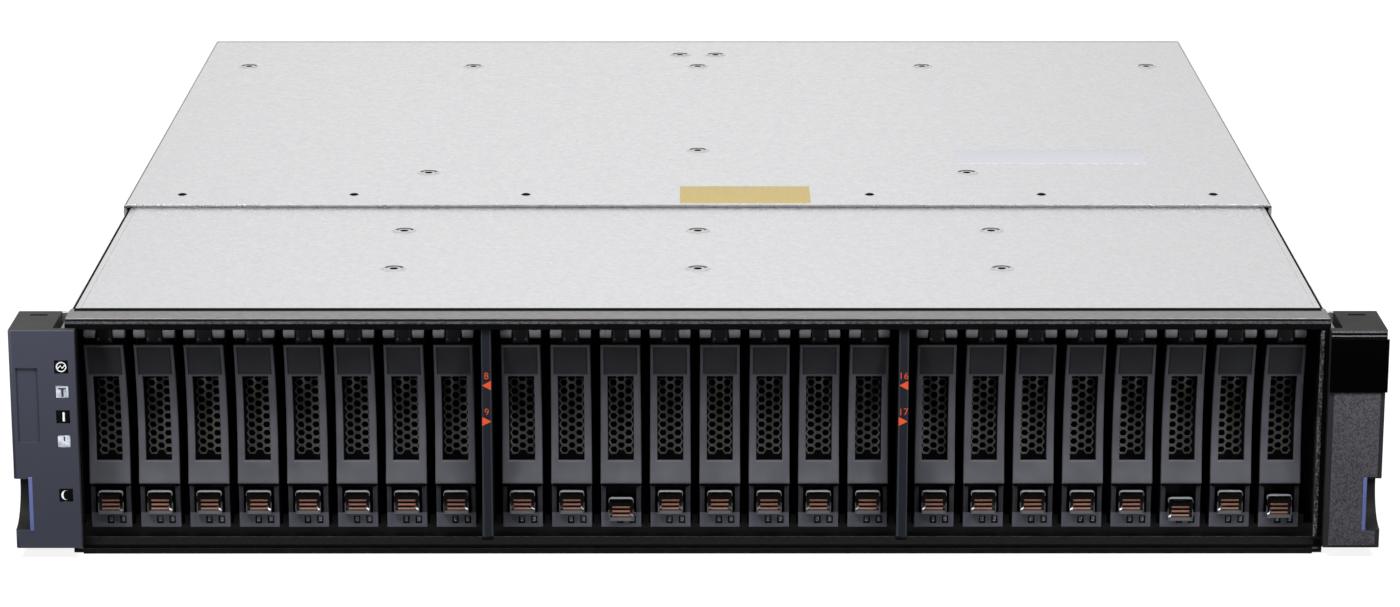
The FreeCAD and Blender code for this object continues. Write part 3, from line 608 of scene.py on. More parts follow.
def cap_plastic(name, face, body, side):
    """A cap's moulded plastic: its front face lighter towards its top as painted light, a plainer
    tone on its sides, black in its slot as painted shade, and black in its finger notch."""
    made = Finish(name)
    cloud = made.spread(made.noise(90, 5), 0, 1)
    # Painted light: the front face grows lighter towards its top.
    lit = made.blend(made.risen(15, 80), toned(face, 0.84), toned(face, 1.18))
    dull = made.blend(cloud, toned(body, 0.9), toned(body, 1.1))
    tone = made.blend(made.zone(**CAP_FRONT), dull, lit)
    # Black in the slot is painted shade; the finger notch is black too.
    for across, spans in (CAP_SLOT_SHADE, CAP_NOTCH):
        tone = made.blend(made.zone(X=on_side(side, *across), **spans), tone, toned(body, 0.12))
    made.grain(made.noise(1100, 2), 0.5, 0.05)
    return made.coat(tone, made.spread(cloud, 0.55, 0.65, 0, 1), 0.2)


def brushed(name, base, rough=0.34):
    """Brushed metal: long thin streaks along X."""
    made = Finish(name)
    streaks = made.noise(1800, 3, (0.06, 1, 1))
    tone = made.blend(made.spread(streaks, 0, 1), toned(base, 0.86), toned(base, 1.08))
    made.grain(streaks, 0.2, 0.01)
    return made.coat(tone, made.spread(streaks, rough - 0.06, rough + 0.08), metal=0.9)


def module_steel(name, colours):
    """A module's brushed case, whose pull grip behind the rear face is black plastic."""
    made = Finish(name)
    grip = made.zone(**GRIP)
    streaks = made.noise(1500, 3, (0.08, 1, 1))
    steel = made.blend(made.spread(streaks, 0, 1), toned(colours.module, 0.88), toned(colours.module, 1.06))
    tone = made.blend(grip, steel, toned(colours.frame, 1.6))
    made.grain(streaks, 0.2, 0.012)
    return made.coat(tone, made.spread(streaks, 0.27, 0.36), metal=made.spread(grip, 0.85, 0.0, 0, 1))


def glossy(name, base, rough=0.12, shine=0.5):
    """Polished plastic with a faintly wavy skin and a few dull spots."""
    made = Finish(name)
    dull = made.noise(240, 4)
    tone = made.blend(dull, toned(base, 0.9), toned(base, 1.1))
    made.grain(made.noise(160, 1), 0.15, 0.02)
    return made.coat(tone, made.spread(dull, rough, rough + 0.08), shine)


def paper(name, base, fibre=0.03):
    """Printed film: an even colour with faint fibres and a soft sheen."""
    made = Finish(name)
    strands = made.noise(700, 5, (1, 0.3, 1))
    tone = made.blend(strands, toned(base, 1 - fibre), toned(base, 1 + fibre))
    return made.coat(tone, made.spread(strands, 0.42, 0.55), 0.35)


def frosted(name, base):
    """A pale diffusing lens, cloudy inside."""
    made = Finish(name)
    cloud = made.noise(700)
    tone = made.blend(made.spread(cloud, 0, 1, 0.35, 0.65), toned(base, 0.55), base)
    made.feed(made.shader.inputs["Subsurface Weight"], 0.2)
    made.feed(made.shader.inputs["Subsurface Radius"], (MM, MM, MM))
    return made.coat(tone, made.spread(cloud, 0.2, 0.4))


def circuit(name, colours):
    """Circuit board: green lacquer over faint tracks, black sockets ahead of and behind it."""
    made = Finish(name)
    inputs = {"Vector": made.place(), "Scale": 160, "Mortar Size": 0.03}
    for key, share in (("Color1", 1.0), ("Color2", 0.8), ("Mortar", 1.7)):
        inputs[key] = (*toned(colours.board, share), 1)
    tracks = made.node("TexBrick", inputs)["Color"]
    tone = made.blend(made.zone(**BOARD), colours.frame, tracks)
    return made.coat(tone, made.spread(made.noise(400, 2), 0.3, 0.5))


# Pieces of one bay

BLOCK_HALF = 7.15
BLOCK_FRONT = 9.0
BLOCK_LOW = 6.6
BLOCK_HIGH = 21.9
BLOCK_ROUND = 0.5
RECESS = ((-5.45, 5.45), (12.2, np.inf))
RECESS_DEPTH = 6.0
RECESS_DRAFT = 0.25
LAMP_LEFTS = (-1.45, 2.95)
LAMP_LOW = 8.1
LAMP_SINK = 0.7
LAMP_DRAFT = 0.12
LENS_GAP = 0.45
CARRIER_TOP = 81.25
CARRIER_END = 152.0
RAIL = 2.4
RAIL_ROUND = 0.3
CHEEK = 0.8
CHEEK_FRONT = 12.0
DRIVE_FRONT = 42.0
BLOCK_GAP = 0.05
BLOCK_BACK = DRIVE_FRONT - BLOCK_GAP
DRIVE_REAR = 142.2
DRIVE_HALF = 7.4
DRIVE_ROUND = 0.8
PIVOT = (7.8, 79.7)
PIN_RADIUS = 0.9
LUG_INNER = 3.2
LUG_NOSE = 2.15
LUG_DROP = 0.45
LUG_ROUND = 0.3
COMB_FRONT = 16.5
COMB_SKIN = 1.0
COMB_TOP = 58.2
COMB_ROWS = 9
COMB_PINHOLE = 0.04
COMB_OPEN_HALF = 4.2
COMB_OPEN_ROWS = 8.6
COMB_OPEN_TOP = COMB_TOP + 2.2
COMB_BORDER = 0.9
LATCH_HALF = 4.45
LATCH_LOW = 12.1
LATCH_HIGH = 20.5
LATCH_FRONT = 6.9
LATCH_BACK = BLOCK_FRONT - 0.2
LATCH_STEM = ((-3.6, 3.6), (15.0, 19.9), (LATCH_BACK + 0.01, BLOCK_FRONT + 5.9))
LATCH_ROUND = 1.1
LATCH_DROPS = {11: 2.6, 22: 2.6, 24: 1.5}
HANDLE = ((-7.3, 7.3), (23.1, 75.6))
HANDLE_STATIONS = (3.3, 9.2, 7.5)
HANDLE_BACK = 11.2
HANDLE_SKIN = 1.6
HANDLE_TAPER = 0.12
HANDLE_THINNEST = 0.2
WINDOW = ((-4.6, 4.6), (31.5, 63.1))
PANEL = ((-6.15, 6.15), (WINDOW[1][1] + 0.75, HANDLE[1][1] - 0.75))
PANEL_BANK = 0.18
KNUCKLE = ((-3.0, 3.0), (HANDLE[1][1] - 0.6, 81.4))
KNUCKLE_HALF = 1.7
KNUCKLE_ROUND = 1.2
BOSS_ACROSS = 2.0
BOSS_HEIGHT = HANDLE[1][1] + 1.5
BOSS_SIZE = (0.5, 0.35)

# Numbers of the finishes in a bay's meshes; nought is the main one. Painted shade: the pocket's
# near-black in the latch recess, on the cheeks and behind the comb, the pillar finish, and the
# handle's sunk panel and side finishes. Painted highlight: the latch's bead, foot and flank finishes.
POCKET, LENS, LUG, COMB, PIN, PILLAR_SHADE = range(1, 7)
CONTACT, SEAL = range(1, 3)
BEAD_HIGHLIGHT, RIB, FOOT_HIGHLIGHT, FLANK_HIGHLIGHT = range(1, 5)
JOINT, BOSS, PANEL_SHADE, SIDE_SHADE = range(1, 5)


def lamp_windows(sizes):
    """Ranges across and up of a carrier's two lamp windows."""
    rise = (LAMP_LOW, LAMP_LOW + sizes.lamp_height)
    return [((left, left + sizes.lamp_width), rise) for left in LAMP_LEFTS]


def block_front(shell, sizes):
    """The carrier's front block: a plate rounded at its outline, stepped back to a drafted
    recess for the latch, and sunk to two lamp windows."""
    outline = ((-BLOCK_HALF, BLOCK_HALF), (BLOCK_LOW, BLOCK_HIGH))
    lamps = lamp_windows(sizes)
    across = lines(edge_lines(*outline[0], BLOCK_ROUND, 3), banked(RECESS[0], RECESS_DRAFT),
                   *(banked(lamp[0], LAMP_DRAFT) for lamp in lamps))
    up = lines(edge_lines(*outline[1], BLOCK_ROUND, 3), RECESS[1][0], RECESS[1][0] + RECESS_DRAFT,
               banked(lamps[0][1], LAMP_DRAFT))
    sunk = RECESS_DEPTH * bank(across, up, *RECESS, RECESS_DRAFT)
    # Painted shade: the pillar finish darkens the block above the recess's foot, under the handle and latch.
    finish = np.where(cells(across, up, (-np.inf, np.inf), RECESS[1]), PILLAR_SHADE, 0)
    finish[cells(across, up, *RECESS)] = POCKET
    for lamp in lamps:
        sunk = np.maximum(sunk, LAMP_SINK * bank(across, up, *lamp, LAMP_DRAFT))
        finish[cells(across, up, *lamp)] = POCKET
    front = BLOCK_FRONT + np.maximum(edge_fall(across, up, *outline, BLOCK_ROUND), sunk)
    shell.plate(facing_front, across, up, front, BLOCK_BACK, finish=finish, wall=POCKET)


def lamp_lenses(shell, sizes):
    """A crowned lens in each lamp window: a plate whose front bulges as a shallow dome."""
    steps, foot, crown, back = 7, 0.55, 0.45, 0.9
    side = np.linspace(-1, 1, steps)
    dome = np.sqrt((1 - side[:, None] ** 2) * (1 - side[None, :] ** 2))
    for span, rise in lamp_windows(sizes):
        across, up = (np.linspace(low + LENS_GAP, high - LENS_GAP, steps) for low, high in (span, rise))
        front = BLOCK_FRONT + foot - crown * dome
        shell.plate(facing_front, across, up, front, BLOCK_FRONT + back, finish=LENS)


def hinge_lugs(shell):
    """Two lugs: a profile that runs forward from the cheek, round a nose and back, carried
    across, and drawn in towards its middle at both ends."""
    turn = np.linspace(-math.pi / 2, math.pi / 2, 9)
    outline_y = np.concatenate([[CHEEK_FRONT], PIVOT[0] - LUG_NOSE * np.cos(turn), [CHEEK_FRONT]])
    outline_z = PIVOT[1] - LUG_DROP + LUG_NOSE * np.sin(np.pad(turn, 1, mode="edge"))
    ends = np.repeat(banked((LUG_INNER, BLOCK_HALF), LUG_ROUND), [2, 1, 1, 2])
    shrink = np.array([1.0, 0.12, 0.0, 0.0, 0.12, 1.0])[:, None]
    deep = outline_y + (outline_y.mean() - outline_y) * shrink
    high = outline_z + (outline_z.mean() - outline_z) * shrink
    for side in (-1, 1):
        wide = np.broadcast_to(side * ends[:, None], deep.shape)
        shell.grid(np.stack([wide, deep, high], axis=-1)[::side], LUG, wrap=True)


def honeycomb(shell, sizes):
    """The vent grille: hexagonal cells in staggered columns, each a ring from its border to
    its hole and a wall through it; walls close the plate where a cell has no neighbour."""
    pitch = sizes.comb_pitch
    column = np.repeat(np.arange(-2, 3), COMB_ROWS + 2)
    row = np.tile(np.arange(-1, COMB_ROWS + 1), 5)
    lift = row - 0.5 * (column % 2 == 0)
    centre = np.stack([column * pitch * math.sqrt(3) / 2, COMB_TOP - lift * pitch], axis=-1)[:, None, :]
    open_cell = (np.abs(column) < 2) & (row > -1) & (row < COMB_ROWS)
    angle = np.arange(6) * math.pi / 3
    spoke = np.stack([np.cos(angle), np.sin(angle)], axis=-1) / math.sqrt(3)
    border = centre + spoke * pitch
    hole = centre + spoke * np.where(open_cell, sizes.comb_hole, COMB_PINHOLE)[:, None, None]
    rings = [facing_front(flat[..., 0], flat[..., 1], np.full(flat.shape[:2], depth))
             for depth in (COMB_FRONT, COMB_FRONT + COMB_SKIN) for flat in (border, hole)]
    base = np.arange(len(column))[:, None] * len(rings) * 6
    here = np.arange(6)
    after = (here + 1) % 6

    def band(first, second):
        """Faces between two of a cell's rings, numbered as border and hole in front, then behind."""
        ring = [6 * first + here, 6 * first + after, 6 * second + after, 6 * second + here]
        return np.stack([base + corner for corner in ring], axis=-1)

    nearest = 0.01
    middle = np.round((border + np.roll(border, -1, axis=1)) / 2 / nearest).reshape(-1, 2)
    which, count = np.unique(middle, axis=0, return_inverse=True, return_counts=True)[1:]
    alone = (count[which.reshape(-1)] == 1).reshape(-1, 6)
    tone = np.broadcast_to(np.where(open_cell, COMB, POCKET)[:, None], alone.shape)
    bands = (band(0, 1), band(3, 2), band(1, 3), band(2, 0)[alone])
    faces = np.concatenate([part.reshape(-1, 4) for part in bands])
    finish = np.concatenate([part.reshape(-1) for part in (tone, tone, tone, tone[alone])])
    shell.add(np.stack(rings, axis=1), faces.tolist(), finish)


def comb_surround(shell, sizes):
    """The solid border behind the honeycomb, open where the cells are pierced."""
    half, back = BLOCK_HALF - CHEEK, COMB_FRONT + COMB_SKIN
    span = (-COMB_OPEN_HALF, COMB_OPEN_HALF)
    rise = (COMB_TOP - COMB_OPEN_ROWS * sizes.comb_pitch, COMB_OPEN_TOP)
    across = np.array([-half, *span, half])
    up = np.array([BLOCK_HIGH + BLOCK_GAP, *rise, CARRIER_TOP - RAIL])
    keep = ~cells(across, up, span, rise)
    shell.plate(facing_front, across, up, back + SET_IN, back + COMB_BORDER, keep, POCKET)


def sled_mesh(sizes, finishes):
    """One carrier's sled: block, lenses, lugs, honeycomb, cheeks, rails and hinge pin, each a
    closed surface of its own."""
    shell = Shell()
    block_front(shell, sizes)
    lamp_lenses(shell, sizes)
    hinge_lugs(shell)
    honeycomb(shell, sizes)
    comb_surround(shell, sizes)
    deep = np.array([CHEEK_FRONT, DRIVE_FRONT - SEAM])
    high = np.array([BLOCK_HIGH + SEAM, CARRIER_TOP - RAIL - SEAM])
    for facing, across in ((facing_right, deep), (facing_left, -deep[::-1])):
        shell.plate(facing, across, high, -BLOCK_HALF, -BLOCK_HALF + CHEEK, finish=POCKET)
    for start, top in ((CHEEK_FRONT, CARRIER_TOP), (DRIVE_FRONT, BLOCK_LOW + RAIL)):
        shell.block(facing_up, (-BLOCK_HALF, BLOCK_HALF), (start, CARRIER_END), (-top, -top + RAIL),
                    RAIL_ROUND)
    pin_ends = LUG_INNER * np.array([-1, -1, 1, 1])
    shell.turned(PIN_RADIUS * np.array([0, 1, 1, 0]), pin_ends, (0, *PIVOT), 12, PIN, facing_right)
    return shell.mesh("sled", finishes)


def drive_mesh(finishes):
    """The drive: a rounded case between the rails, with a shallow sunk field on each side,
    a row of contacts at its rear and a black seal on its front end."""
    shell = Shell()
    rise = (BLOCK_LOW + RAIL + SEAM, CARRIER_TOP - RAIL - SEAM)
    start = DRIVE_FRONT + SEAM
    border, slope, sink = 6.0, 0.4, 0.35
    field_rise = (rise[0] + border, rise[1] - border)
    for facing, side in ((facing_right, 1), (facing_left, -1)):
        span = on_side(side, start, DRIVE_REAR)
        field = (span[0] + border, span[1] - border)
        across = lines(edge_lines(*span, DRIVE_ROUND), banked(field, slope))
        up = lines(edge_lines(*rise, DRIVE_ROUND), banked(field_rise, slope))
        sunk = sink * bank(across, up, field, field_rise, slope)
        front = -DRIVE_HALF + edge_fall(across, up, span, rise, DRIVE_ROUND) + sunk
        shell.plate(facing, across, up, front, -0.01)
    seal_half, seal_gap, seal_thick = 6.3, 0.1, 1.2
    shell.block(facing_front, (-seal_half, seal_half), (BLOCK_HIGH + seal_gap, rise[1] - seal_gap),
                (start - seal_thick, start - SET_IN), finish=SEAL)
    contact_half, contact_tall = 1.6, 1.1
    contact_depth = (-DRIVE_REAR - 0.12, -DRIVE_REAR + 0.5)
    for foot in np.linspace(16, 48, 17):
        shell.block(facing_rear, (-contact_half, contact_half), (foot, foot + contact_tall), contact_depth,
                    finish=CONTACT)
    return shell.mesh("drive", finishes)


def round_topped(across, up, depth):
    """A latch's grid seen from the front, with its square top corners drawn in to quarter circles."""
    u = np.clip((np.abs(across) - LATCH_HALF) / LATCH_ROUND + 1, 0, 1)
    v = np.clip((up - LATCH_HIGH) / LATCH_ROUND + 1, 0, 1)
    inward = LATCH_ROUND * u * (1 - np.sqrt(1 - v**2 / 2))
    down = LATCH_ROUND * v * (1 - np.sqrt(1 - u**2 / 2))
    return facing_front(across - np.sign(across) * inward, up - down, depth)


def latch_mesh(sizes, finishes):
    """One release latch: a plate that is scooped by a parabola up its height, has a bead of a
    half circle along its outline, and carries three ribs; a stem behind it."""
    shell = Shell()
    rim = sizes.latch_rim
    low, high = LATCH_LOW, LATCH_HIGH
    span, rise = (-LATCH_HALF, LATCH_HALF), (low, high)
    bead_proud, scoop_deep, scoop_bank, rib_proud, rib_bank = 0.45, 1.1, 1.4, 0.35, 0.12
    foot_top, crown_foot = low + 1.15, high - 1.3
    rib_span = (-3.15, 3.15)
    ribs = [(low + foot, low + foot + sizes.latch_rib) for foot in (1.44, 2.89, 4.39)]
    inner = np.linspace(0, 1, 7) * rim
    across = lines(span[0] + inner, span[1] - inner, banked(rib_span, rib_bank),
                   np.linspace(span[0] + rim, span[1] - rim, 9))
    up = lines(low + inner, high - inner, foot_top, *(banked(rib, rib_bank) for rib in ribs),
               np.linspace(low + rim, high - rim, 13))
    edge = np.clip(depth_in(across, up, span, rise), 0, rim)
    bead = bead_proud * np.sqrt(np.clip(1 - (2 * edge / rim - 1) ** 2, 0, 1))
    height = (up - low) / (high - low)
    slope = np.sqrt(np.clip((LATCH_HALF - np.abs(across)) / scoop_bank, 0, 1))
    scoop = scoop_deep * np.outer(slope, 1 - (2 * height - 1) ** 2)
    rib = rib_proud * np.max([bank(across, up, rib_span, rib, rib_bank) for rib in ribs], axis=0)
    front = LATCH_FRONT + bead_proud + scoop - bead - rib
    beyond = (-np.inf, np.inf)
    beaded = ~cells(across, up, (span[0] + rim, span[1] - rim), (low + rim, high - rim))
    # The pale bead, lower sides and foot band are painted highlight on the black latch.
    finish = np.zeros(beaded.shape, int)
    finish[beaded & cells(across, up, beyond, (low, (low + high) / 2))] = FLANK_HIGHLIGHT
    finish[beaded & cells(across, up, beyond, (crown_foot, high))] = BEAD_HIGHLIGHT
    finish[cells(across, up, beyond, (low, foot_top))] = FOOT_HIGHLIGHT
    for rib in ribs:
        finish[cells(across, up, rib_span, rib)] = RIB
    shell.plate(round_topped, across, up, front, LATCH_BACK, finish=finish)
    shell.block(facing_front, *LATCH_STEM)
    return shell.mesh("latch", finishes)


def arc_station(height):
    """Depth of the handle's front at a height: the circle through its top, middle and bottom."""
    low, high = HANDLE[1]
    heights = np.array([high, (high + low) / 2, low])
    depths = np.array(HANDLE_STATIONS)
    rows = np.stack([2 * depths, 2 * heights, np.ones(3)], axis=-1)
    middle_y, middle_z, rest = np.linalg.solve(rows, depths**2 + heights**2)
    radius = math.sqrt(rest + middle_y**2 + middle_z**2)
    return middle_y + np.sqrt(radius**2 - (height - middle_z) ** 2)


def tapered(across, up, depth):
    """A grid seen from the front, whose parts outside the window draw in towards the top."""
    low, high = HANDLE[1]
    beyond = np.sign(across) * np.clip(np.abs(across) - WINDOW[0][1], 0, None)
    return facing_front(across - beyond * HANDLE_TAPER * (up - low) / (high - low), up, depth)


def handle_mesh(sizes, finishes):
    """One handle: a plate whose front follows one arc up its height, falls away in a quarter
    round at its outline and round its window, and steps back in the sunk top panel; a rounded
    knuckle with two bosses above it."""
    shell = Shell()
    radius, lip = sizes.handle_round, 0.35
    rounding = np.array([0, 0.1, 0.2, lip])
    window, (low, high) = WINDOW[1], PANEL[1]
    across = lines(edge_lines(*HANDLE[0], radius), WINDOW[0][0] - rounding, WINDOW[0][1] + rounding,
                   banked(PANEL[0], PANEL_BANK), [-BOSS_ACROSS, BOSS_ACROSS])
    up = lines(edge_lines(*HANDLE[1], radius), window[0] - rounding, window[1] + rounding,
               np.linspace(HANDLE[1][0] + 2, low - 1, 22),
               np.linspace(low + PANEL_BANK, high - PANEL_BANK, 8), [low, high])
    fall = edge_fall(across, up, *HANDLE, radius)
    around = round_over(np.clip(-depth_in(across, up, *WINDOW), 0, None), lip)
    sunk = sizes.handle_sink * bank(across, up, *PANEL, PANEL_BANK)
    arc = arc_station(up)
    front = arc + np.maximum(np.maximum(fall, around), sunk)
    back = np.maximum(np.minimum(arc + HANDLE_SKIN, HANDLE_BACK), front + HANDLE_THINNEST)
    # The sunk panel and the walls take darker tones of the handle plastic: painted shade.
    finish = np.where(cells(across, up, *PANEL), PANEL_SHADE, 0)
    shell.plate(tapered, across, up, front, back, ~cells(across, up, *WINDOW), finish, SIDE_SHADE)
    knuckle_depth = about(PIVOT[0], 2 * KNUCKLE_HALF)
    shell.block(facing_front, *KNUCKLE, knuckle_depth, KNUCKLE_ROUND, JOINT)
    for at in (-BOSS_ACROSS, BOSS_ACROSS):
        shell.dome(*BOSS_SIZE, (at, knuckle_depth[0], BOSS_HEIGHT), 12, BOSS, facing_front)
    return shell.mesh("handle", finishes)


class ARRAY_OT_carriers(bpy.types.Operator):
    """Model the drive carriers: sled with its honeycomb and lamps, drive and release latch"""

    bl_idname = "array.carriers"
    bl_label = "Drive carriers"

    def execute(self, context):
        sizes, colours = settings(context)
        # The pocket's near-black is painted shade in the latch recess, on the cheeks and behind the comb.
        pocket = moulded("carrier pocket", toned(colours.frame, 0.6), 0.6, 0.15)
        sled = sled_mesh(sizes, [
            moulded("carrier plastic", colours.carrier), pocket, glossy("lamp lens", colours.lens, 0.15),
            faded("lug plastic", colours.lug, 76.6, 80.6), moulded("comb plastic", colours.comb, 0.5),
            brushed("hinge pin", colours.module), moulded("carrier pillar shade", toned(colours.carrier, 0.25))])
        drive = drive_mesh([
            brushed("drive case", colours.module), brushed("contacts", colours.gold), pocket])
        latch = latch_mesh(sizes, [
            glossy("latch body", toned(colours.latch, 0.5)),
            # The rim, foot and side greys are painted highlight on the latch.
            glossy("latch rim highlight", toned(colours.rim, 0.6), 0.2),
            moulded("latch ribs", colours.rib, 0.4),
            glossy("latch foot highlight", toned(colours.rim, 0.14), 0.42),
            glossy("latch side highlight", toned(colours.rim, 0.3), 0.42)])
        for bay in BAYS:
            body, across = "carrier_%02d" % bay, bay_middle(bay)
            lowered = (across, 0, -LATCH_DROPS.get(bay, 0.0))
            piece("sled_%02d" % bay, sled, body, "carrier_plastic", "drive_carrier_%02d" % bay,
                  shift=(across, 0, 0))
            piece("drive_%02d" % bay, drive, body, "module_steel", shift=(across, 0, 0))
            piece("latch_%02d" % bay, latch, body, "black_plastic", shift=lowered)
        return {"FINISHED"}


class ARRAY_OT_handles(bpy.types.Operator):
    """Model the hinged carrier handles"""

    bl_idname = "array.handles"
    bl_label = "Carrier handles"

    def execute(self, context):
        sizes, colours = settings(context)
        handle = handle_mesh(sizes, [
            moulded("handle plastic", colours.handle, 0.5, 0.25),
            moulded("knuckle plastic", toned(colours.frame, 0.8)),
            glossy("knuckle boss", toned(colours.lug, 0.16), 0.4, 0.2),
            # Painted shade: the panel and the sides are darker tones of the handle plastic.
            moulded("handle panel shade", toned(colours.handle, 0.38), 0.55, 0.2),
            moulded("handle sides shade", toned(colours.handle, 0.2), 0.6, 0.15)])
        for bay in BAYS:
            piece("handle_%02d" % bay, handle, "handle_%02d" % bay, "handle_plastic",
                  "carrier_handle_%02d" % bay, shift=(bay_middle(bay), 0, 0))
        return {"FINISHED"}


# Pieces of the chassis

FRONT_SCREWS = [(across, depth) for depth in (69.5, 127.5) for across in (-111.5, 0.0, 111.5)]
REAR_SCREWS = [
    (-108, 220), (108, 220), (0, 260.5),
    (-202, 432), (-101, 432), (0, 432), (101, 432), (202, 432),
    (-8.1, 458), (8.1, 458)]
# How far in from each cover's sides the painted shade along its edges reaches
FRONT_EDGE_SHADE = -5.0
REAR_EDGE_SHADE = 1.0
HEM = 220.3
HEM_DEPTH = (13.5, 165.0)
HEM_THICK = 1.15
HEM_ROUND = 0.1
# Black strips of painted shade in the gaps along the front cover's front and sides
SHADE_STRIP_FRONT = (10.5, 13.45)
SHADE_STRIP_SIDE = (13.4, 165.0)
SHADE_STRIP_WIDTH = 0.9
SHADE_STRIP_SUNK = 0.01
SHADE_STRIP_THICK = 0.21
SHADE_STRIP_SIDE_SUNK = 0.3
SLOTS = [67.5 * step for step in (-3, -2, -1, 1, 2, 3)]
SLOT_STATION = 182.5
# Size and crown of the black ovals of painted shade over the slots
SLOT_SHADE = (1.75, 2.4, 0.3)
SLOT_SHADE_CROWN = 0.26
WALL = 222.0
RIVET = (2.2, 0.5)
SIDE_RIVETS = [(depth, height) for depth in (90, 200, 310, 420) for height in (12, 72)]
AMBER = ((-7, 44), (167.8, 196))
PALE = ((105, 182), (236, 261))
STICKER_ROUND = 0.1
GUIDE_ROUND = 0.15
BOARD_ROUND = 0.1

# Numbers of the finishes in the cover screws; nought is the main one, the others are painted shade
SOCKET, SHADE, HALF_SHADE = range(1, 4)


def screw_heads(shell, places, radius, top):
    """Flush screws: a low ramp up to the rim of a dish, the dish, a flat head and its socket,
    as one profile of radius and height turned about an upright axis. Painted shade darkens the rear
    of the dish wall, less the front of the ramp, and blackens the socket."""
    radii = np.array([1.3, 1.12, 1.02, 0.98, 0.72, 0.66, 0.4, 0.36, 0.0]) * radius
    heights = np.array([-SET_IN, 0.16, 0.3, 0.3, 0.03, 0.14, 0.14, 0.02, 0.02])
    segments = 24
    finish = np.zeros((len(radii) - 3, segments), int)
    # Painted shade: lighter on the ramp's front, dark on the rear of the dish wall.
    finish[1, segments // 2:] = HALF_SHADE
    finish[3, 1:segments // 2 - 1] = SHADE
    for place in places:
        shell.turned(radii[:-2], heights[:-2], (*place, top), segments, finish.reshape(-1))
        shell.turned(radii[-3:], heights[-3:], (*place, top), segments, SOCKET)


def slot_plugs(shell):
    """Black ovals of painted shade over the rear cover's slots: a quarter circle turned about an
    upright axis, then stretched along each axis."""
    turn = np.linspace(0, math.pi / 2, 4)
    shape = Shell()
    shape.turned(np.cos(turn), np.sin(turn) - 1, (0, 0, 0))
    for across in SLOTS:
        place = (across, SLOT_STATION, REAR_COVER_TOP + SLOT_SHADE_CROWN)
        shell.add(shape.points[0] * SLOT_SHADE + place, shape.faces)


class ARRAY_OT_sheet_metal(bpy.types.Operator):
    """Finish the tray and the two covers, and add their screws, hems and rivets, black strips of
    painted shade along the front cover's edges and black ovals of painted shade over the rear cover's slots
    """

    bl_idname = "array.sheet_metal"
    bl_label = "Sheet metal"

    def execute(self, context):
        sizes, colours = settings(context)
        front_steel = cover_zinc("front cover steel", colours.steel, "front_top_cover", FRONT_EDGE_SHADE)
        rear_steel = cover_zinc("rear cover steel", colours.steel, "rear_top_cover", REAR_EDGE_SHADE)
        dress("chassis_tray", tray_steel("tray steel", colours), sizes.sheet_round)
        dress("front_top_cover", front_steel, sizes.sheet_round)
        dress("rear_top_cover", rear_steel, sizes.sheet_round)
        screw = brushed("screw steel", toned(colours.steel, 0.95), 0.3)
        # Painted shade: black for the screw sockets, the cover's edge strips and the slot ovals, and dark
        # and lighter tones on the dishes.
        dark = moulded("black painted shade", colours.frame, 0.8, 0.02)
        shade = moulded("screw dish shade", toned(colours.steel, 0.14), 0.7, 0.1)
        dull = moulded("screw dish half shade", toned(colours.steel, 0.5), 0.6, 0.2)
        for name, places, top in (("front_cover_screws", FRONT_SCREWS, COVER_TOP),
                                  ("rear_cover_screws", REAR_SCREWS, REAR_COVER_TOP)):
            screws = Shell()
            screw_heads(screws, places, sizes.screw_radius, top)
            fitted(name, screws, [screw, dark, shade, dull], "galvanised_steel")
        # The black seal strips stand for the shaded gaps along the front cover's edges: painted shade.
        hems, seal, slot_shade_shell = Shell(), Shell(), Shell()
        cover_half = box_of("front_top_cover")[1][0]
        foot = -COVER_TOP + HEM_THICK
        top = -COVER_TOP + SHADE_STRIP_SUNK
        seal.block(facing_up, (-HEM, HEM), SHADE_STRIP_FRONT, (top, top + SHADE_STRIP_THICK))
        for side in (-1, 1):
            hem = on_side(side, cover_half - SET_IN, HEM)
            strip = on_side(side, HEM, HEM + SHADE_STRIP_WIDTH)
            hems.block(facing_up, hem, HEM_DEPTH, (-COVER_TOP, foot), HEM_ROUND)
            seal.block(facing_up, strip, SHADE_STRIP_SIDE, (-COVER_TOP + SHADE_STRIP_SIDE_SUNK, foot))
        slot_plugs(slot_shade_shell)
        fitted("front_cover_hems", hems, [front_steel], "galvanised_steel")
        fitted("front_cover_shade_strips", seal, [dark], "black_plastic")
        fitted("rear_cover_slot_shades", slot_shade_shell, [dark], "black_plastic")
        for name, facing, side in (("right_wall_rivets", facing_right, 1),
                                   ("left_wall_rivets", facing_left, -1)):
            rivets = Shell()
            for place in SIDE_RIVETS:
                rivets.dome(*RIVET, (side * WALL, *place), 16, 0, facing)
            fitted(name, rivets, [screw], "galvanised_steel")
        return {"FINISHED"}


class ARRAY_OT_stickers(bpy.types.Operator):
    """Lay the two blank stickers on the rear cover"""

    bl_idname = "array.stickers"
    bl_label = "Stickers"

    def execute(self, context):
        sizes, colours = settings(context)
        depth = (-REAR_COVER_TOP - sizes.sticker, -REAR_COVER_TOP + SET_IN)
        for name, outline, film in (("amber_sticker", AMBER, paper("amber film", colours.amber)),
                                    ("pale_sticker", PALE, paper("pale film", colours.pale))):
            shell = Shell()
            shell.block(facing_up, *outline, depth, STICKER_ROUND)
            fitted(name, shell, [film], "galvanised_steel")
        return {"FINISHED"}


class ARRAY_OT_inside(bpy.types.Operator):
    """Finish the drive guides and the midplane board"""

    bl_idname = "array.inside"
    bl_label = "Guides and midplane"

    def execute(self, context):
        colours = settings(context)[1]
        guide = moulded("guide plastic", toned(colours.frame, 0.8), 0.6, 0.2)
        dress("drive_guides", guide, GUIDE_ROUND, 1)
        dress("midplane_board", circuit("circuit board", colours), BOARD_ROUND, 1)
        return {"FINISHED"}


# Pieces of the front frame and the end caps

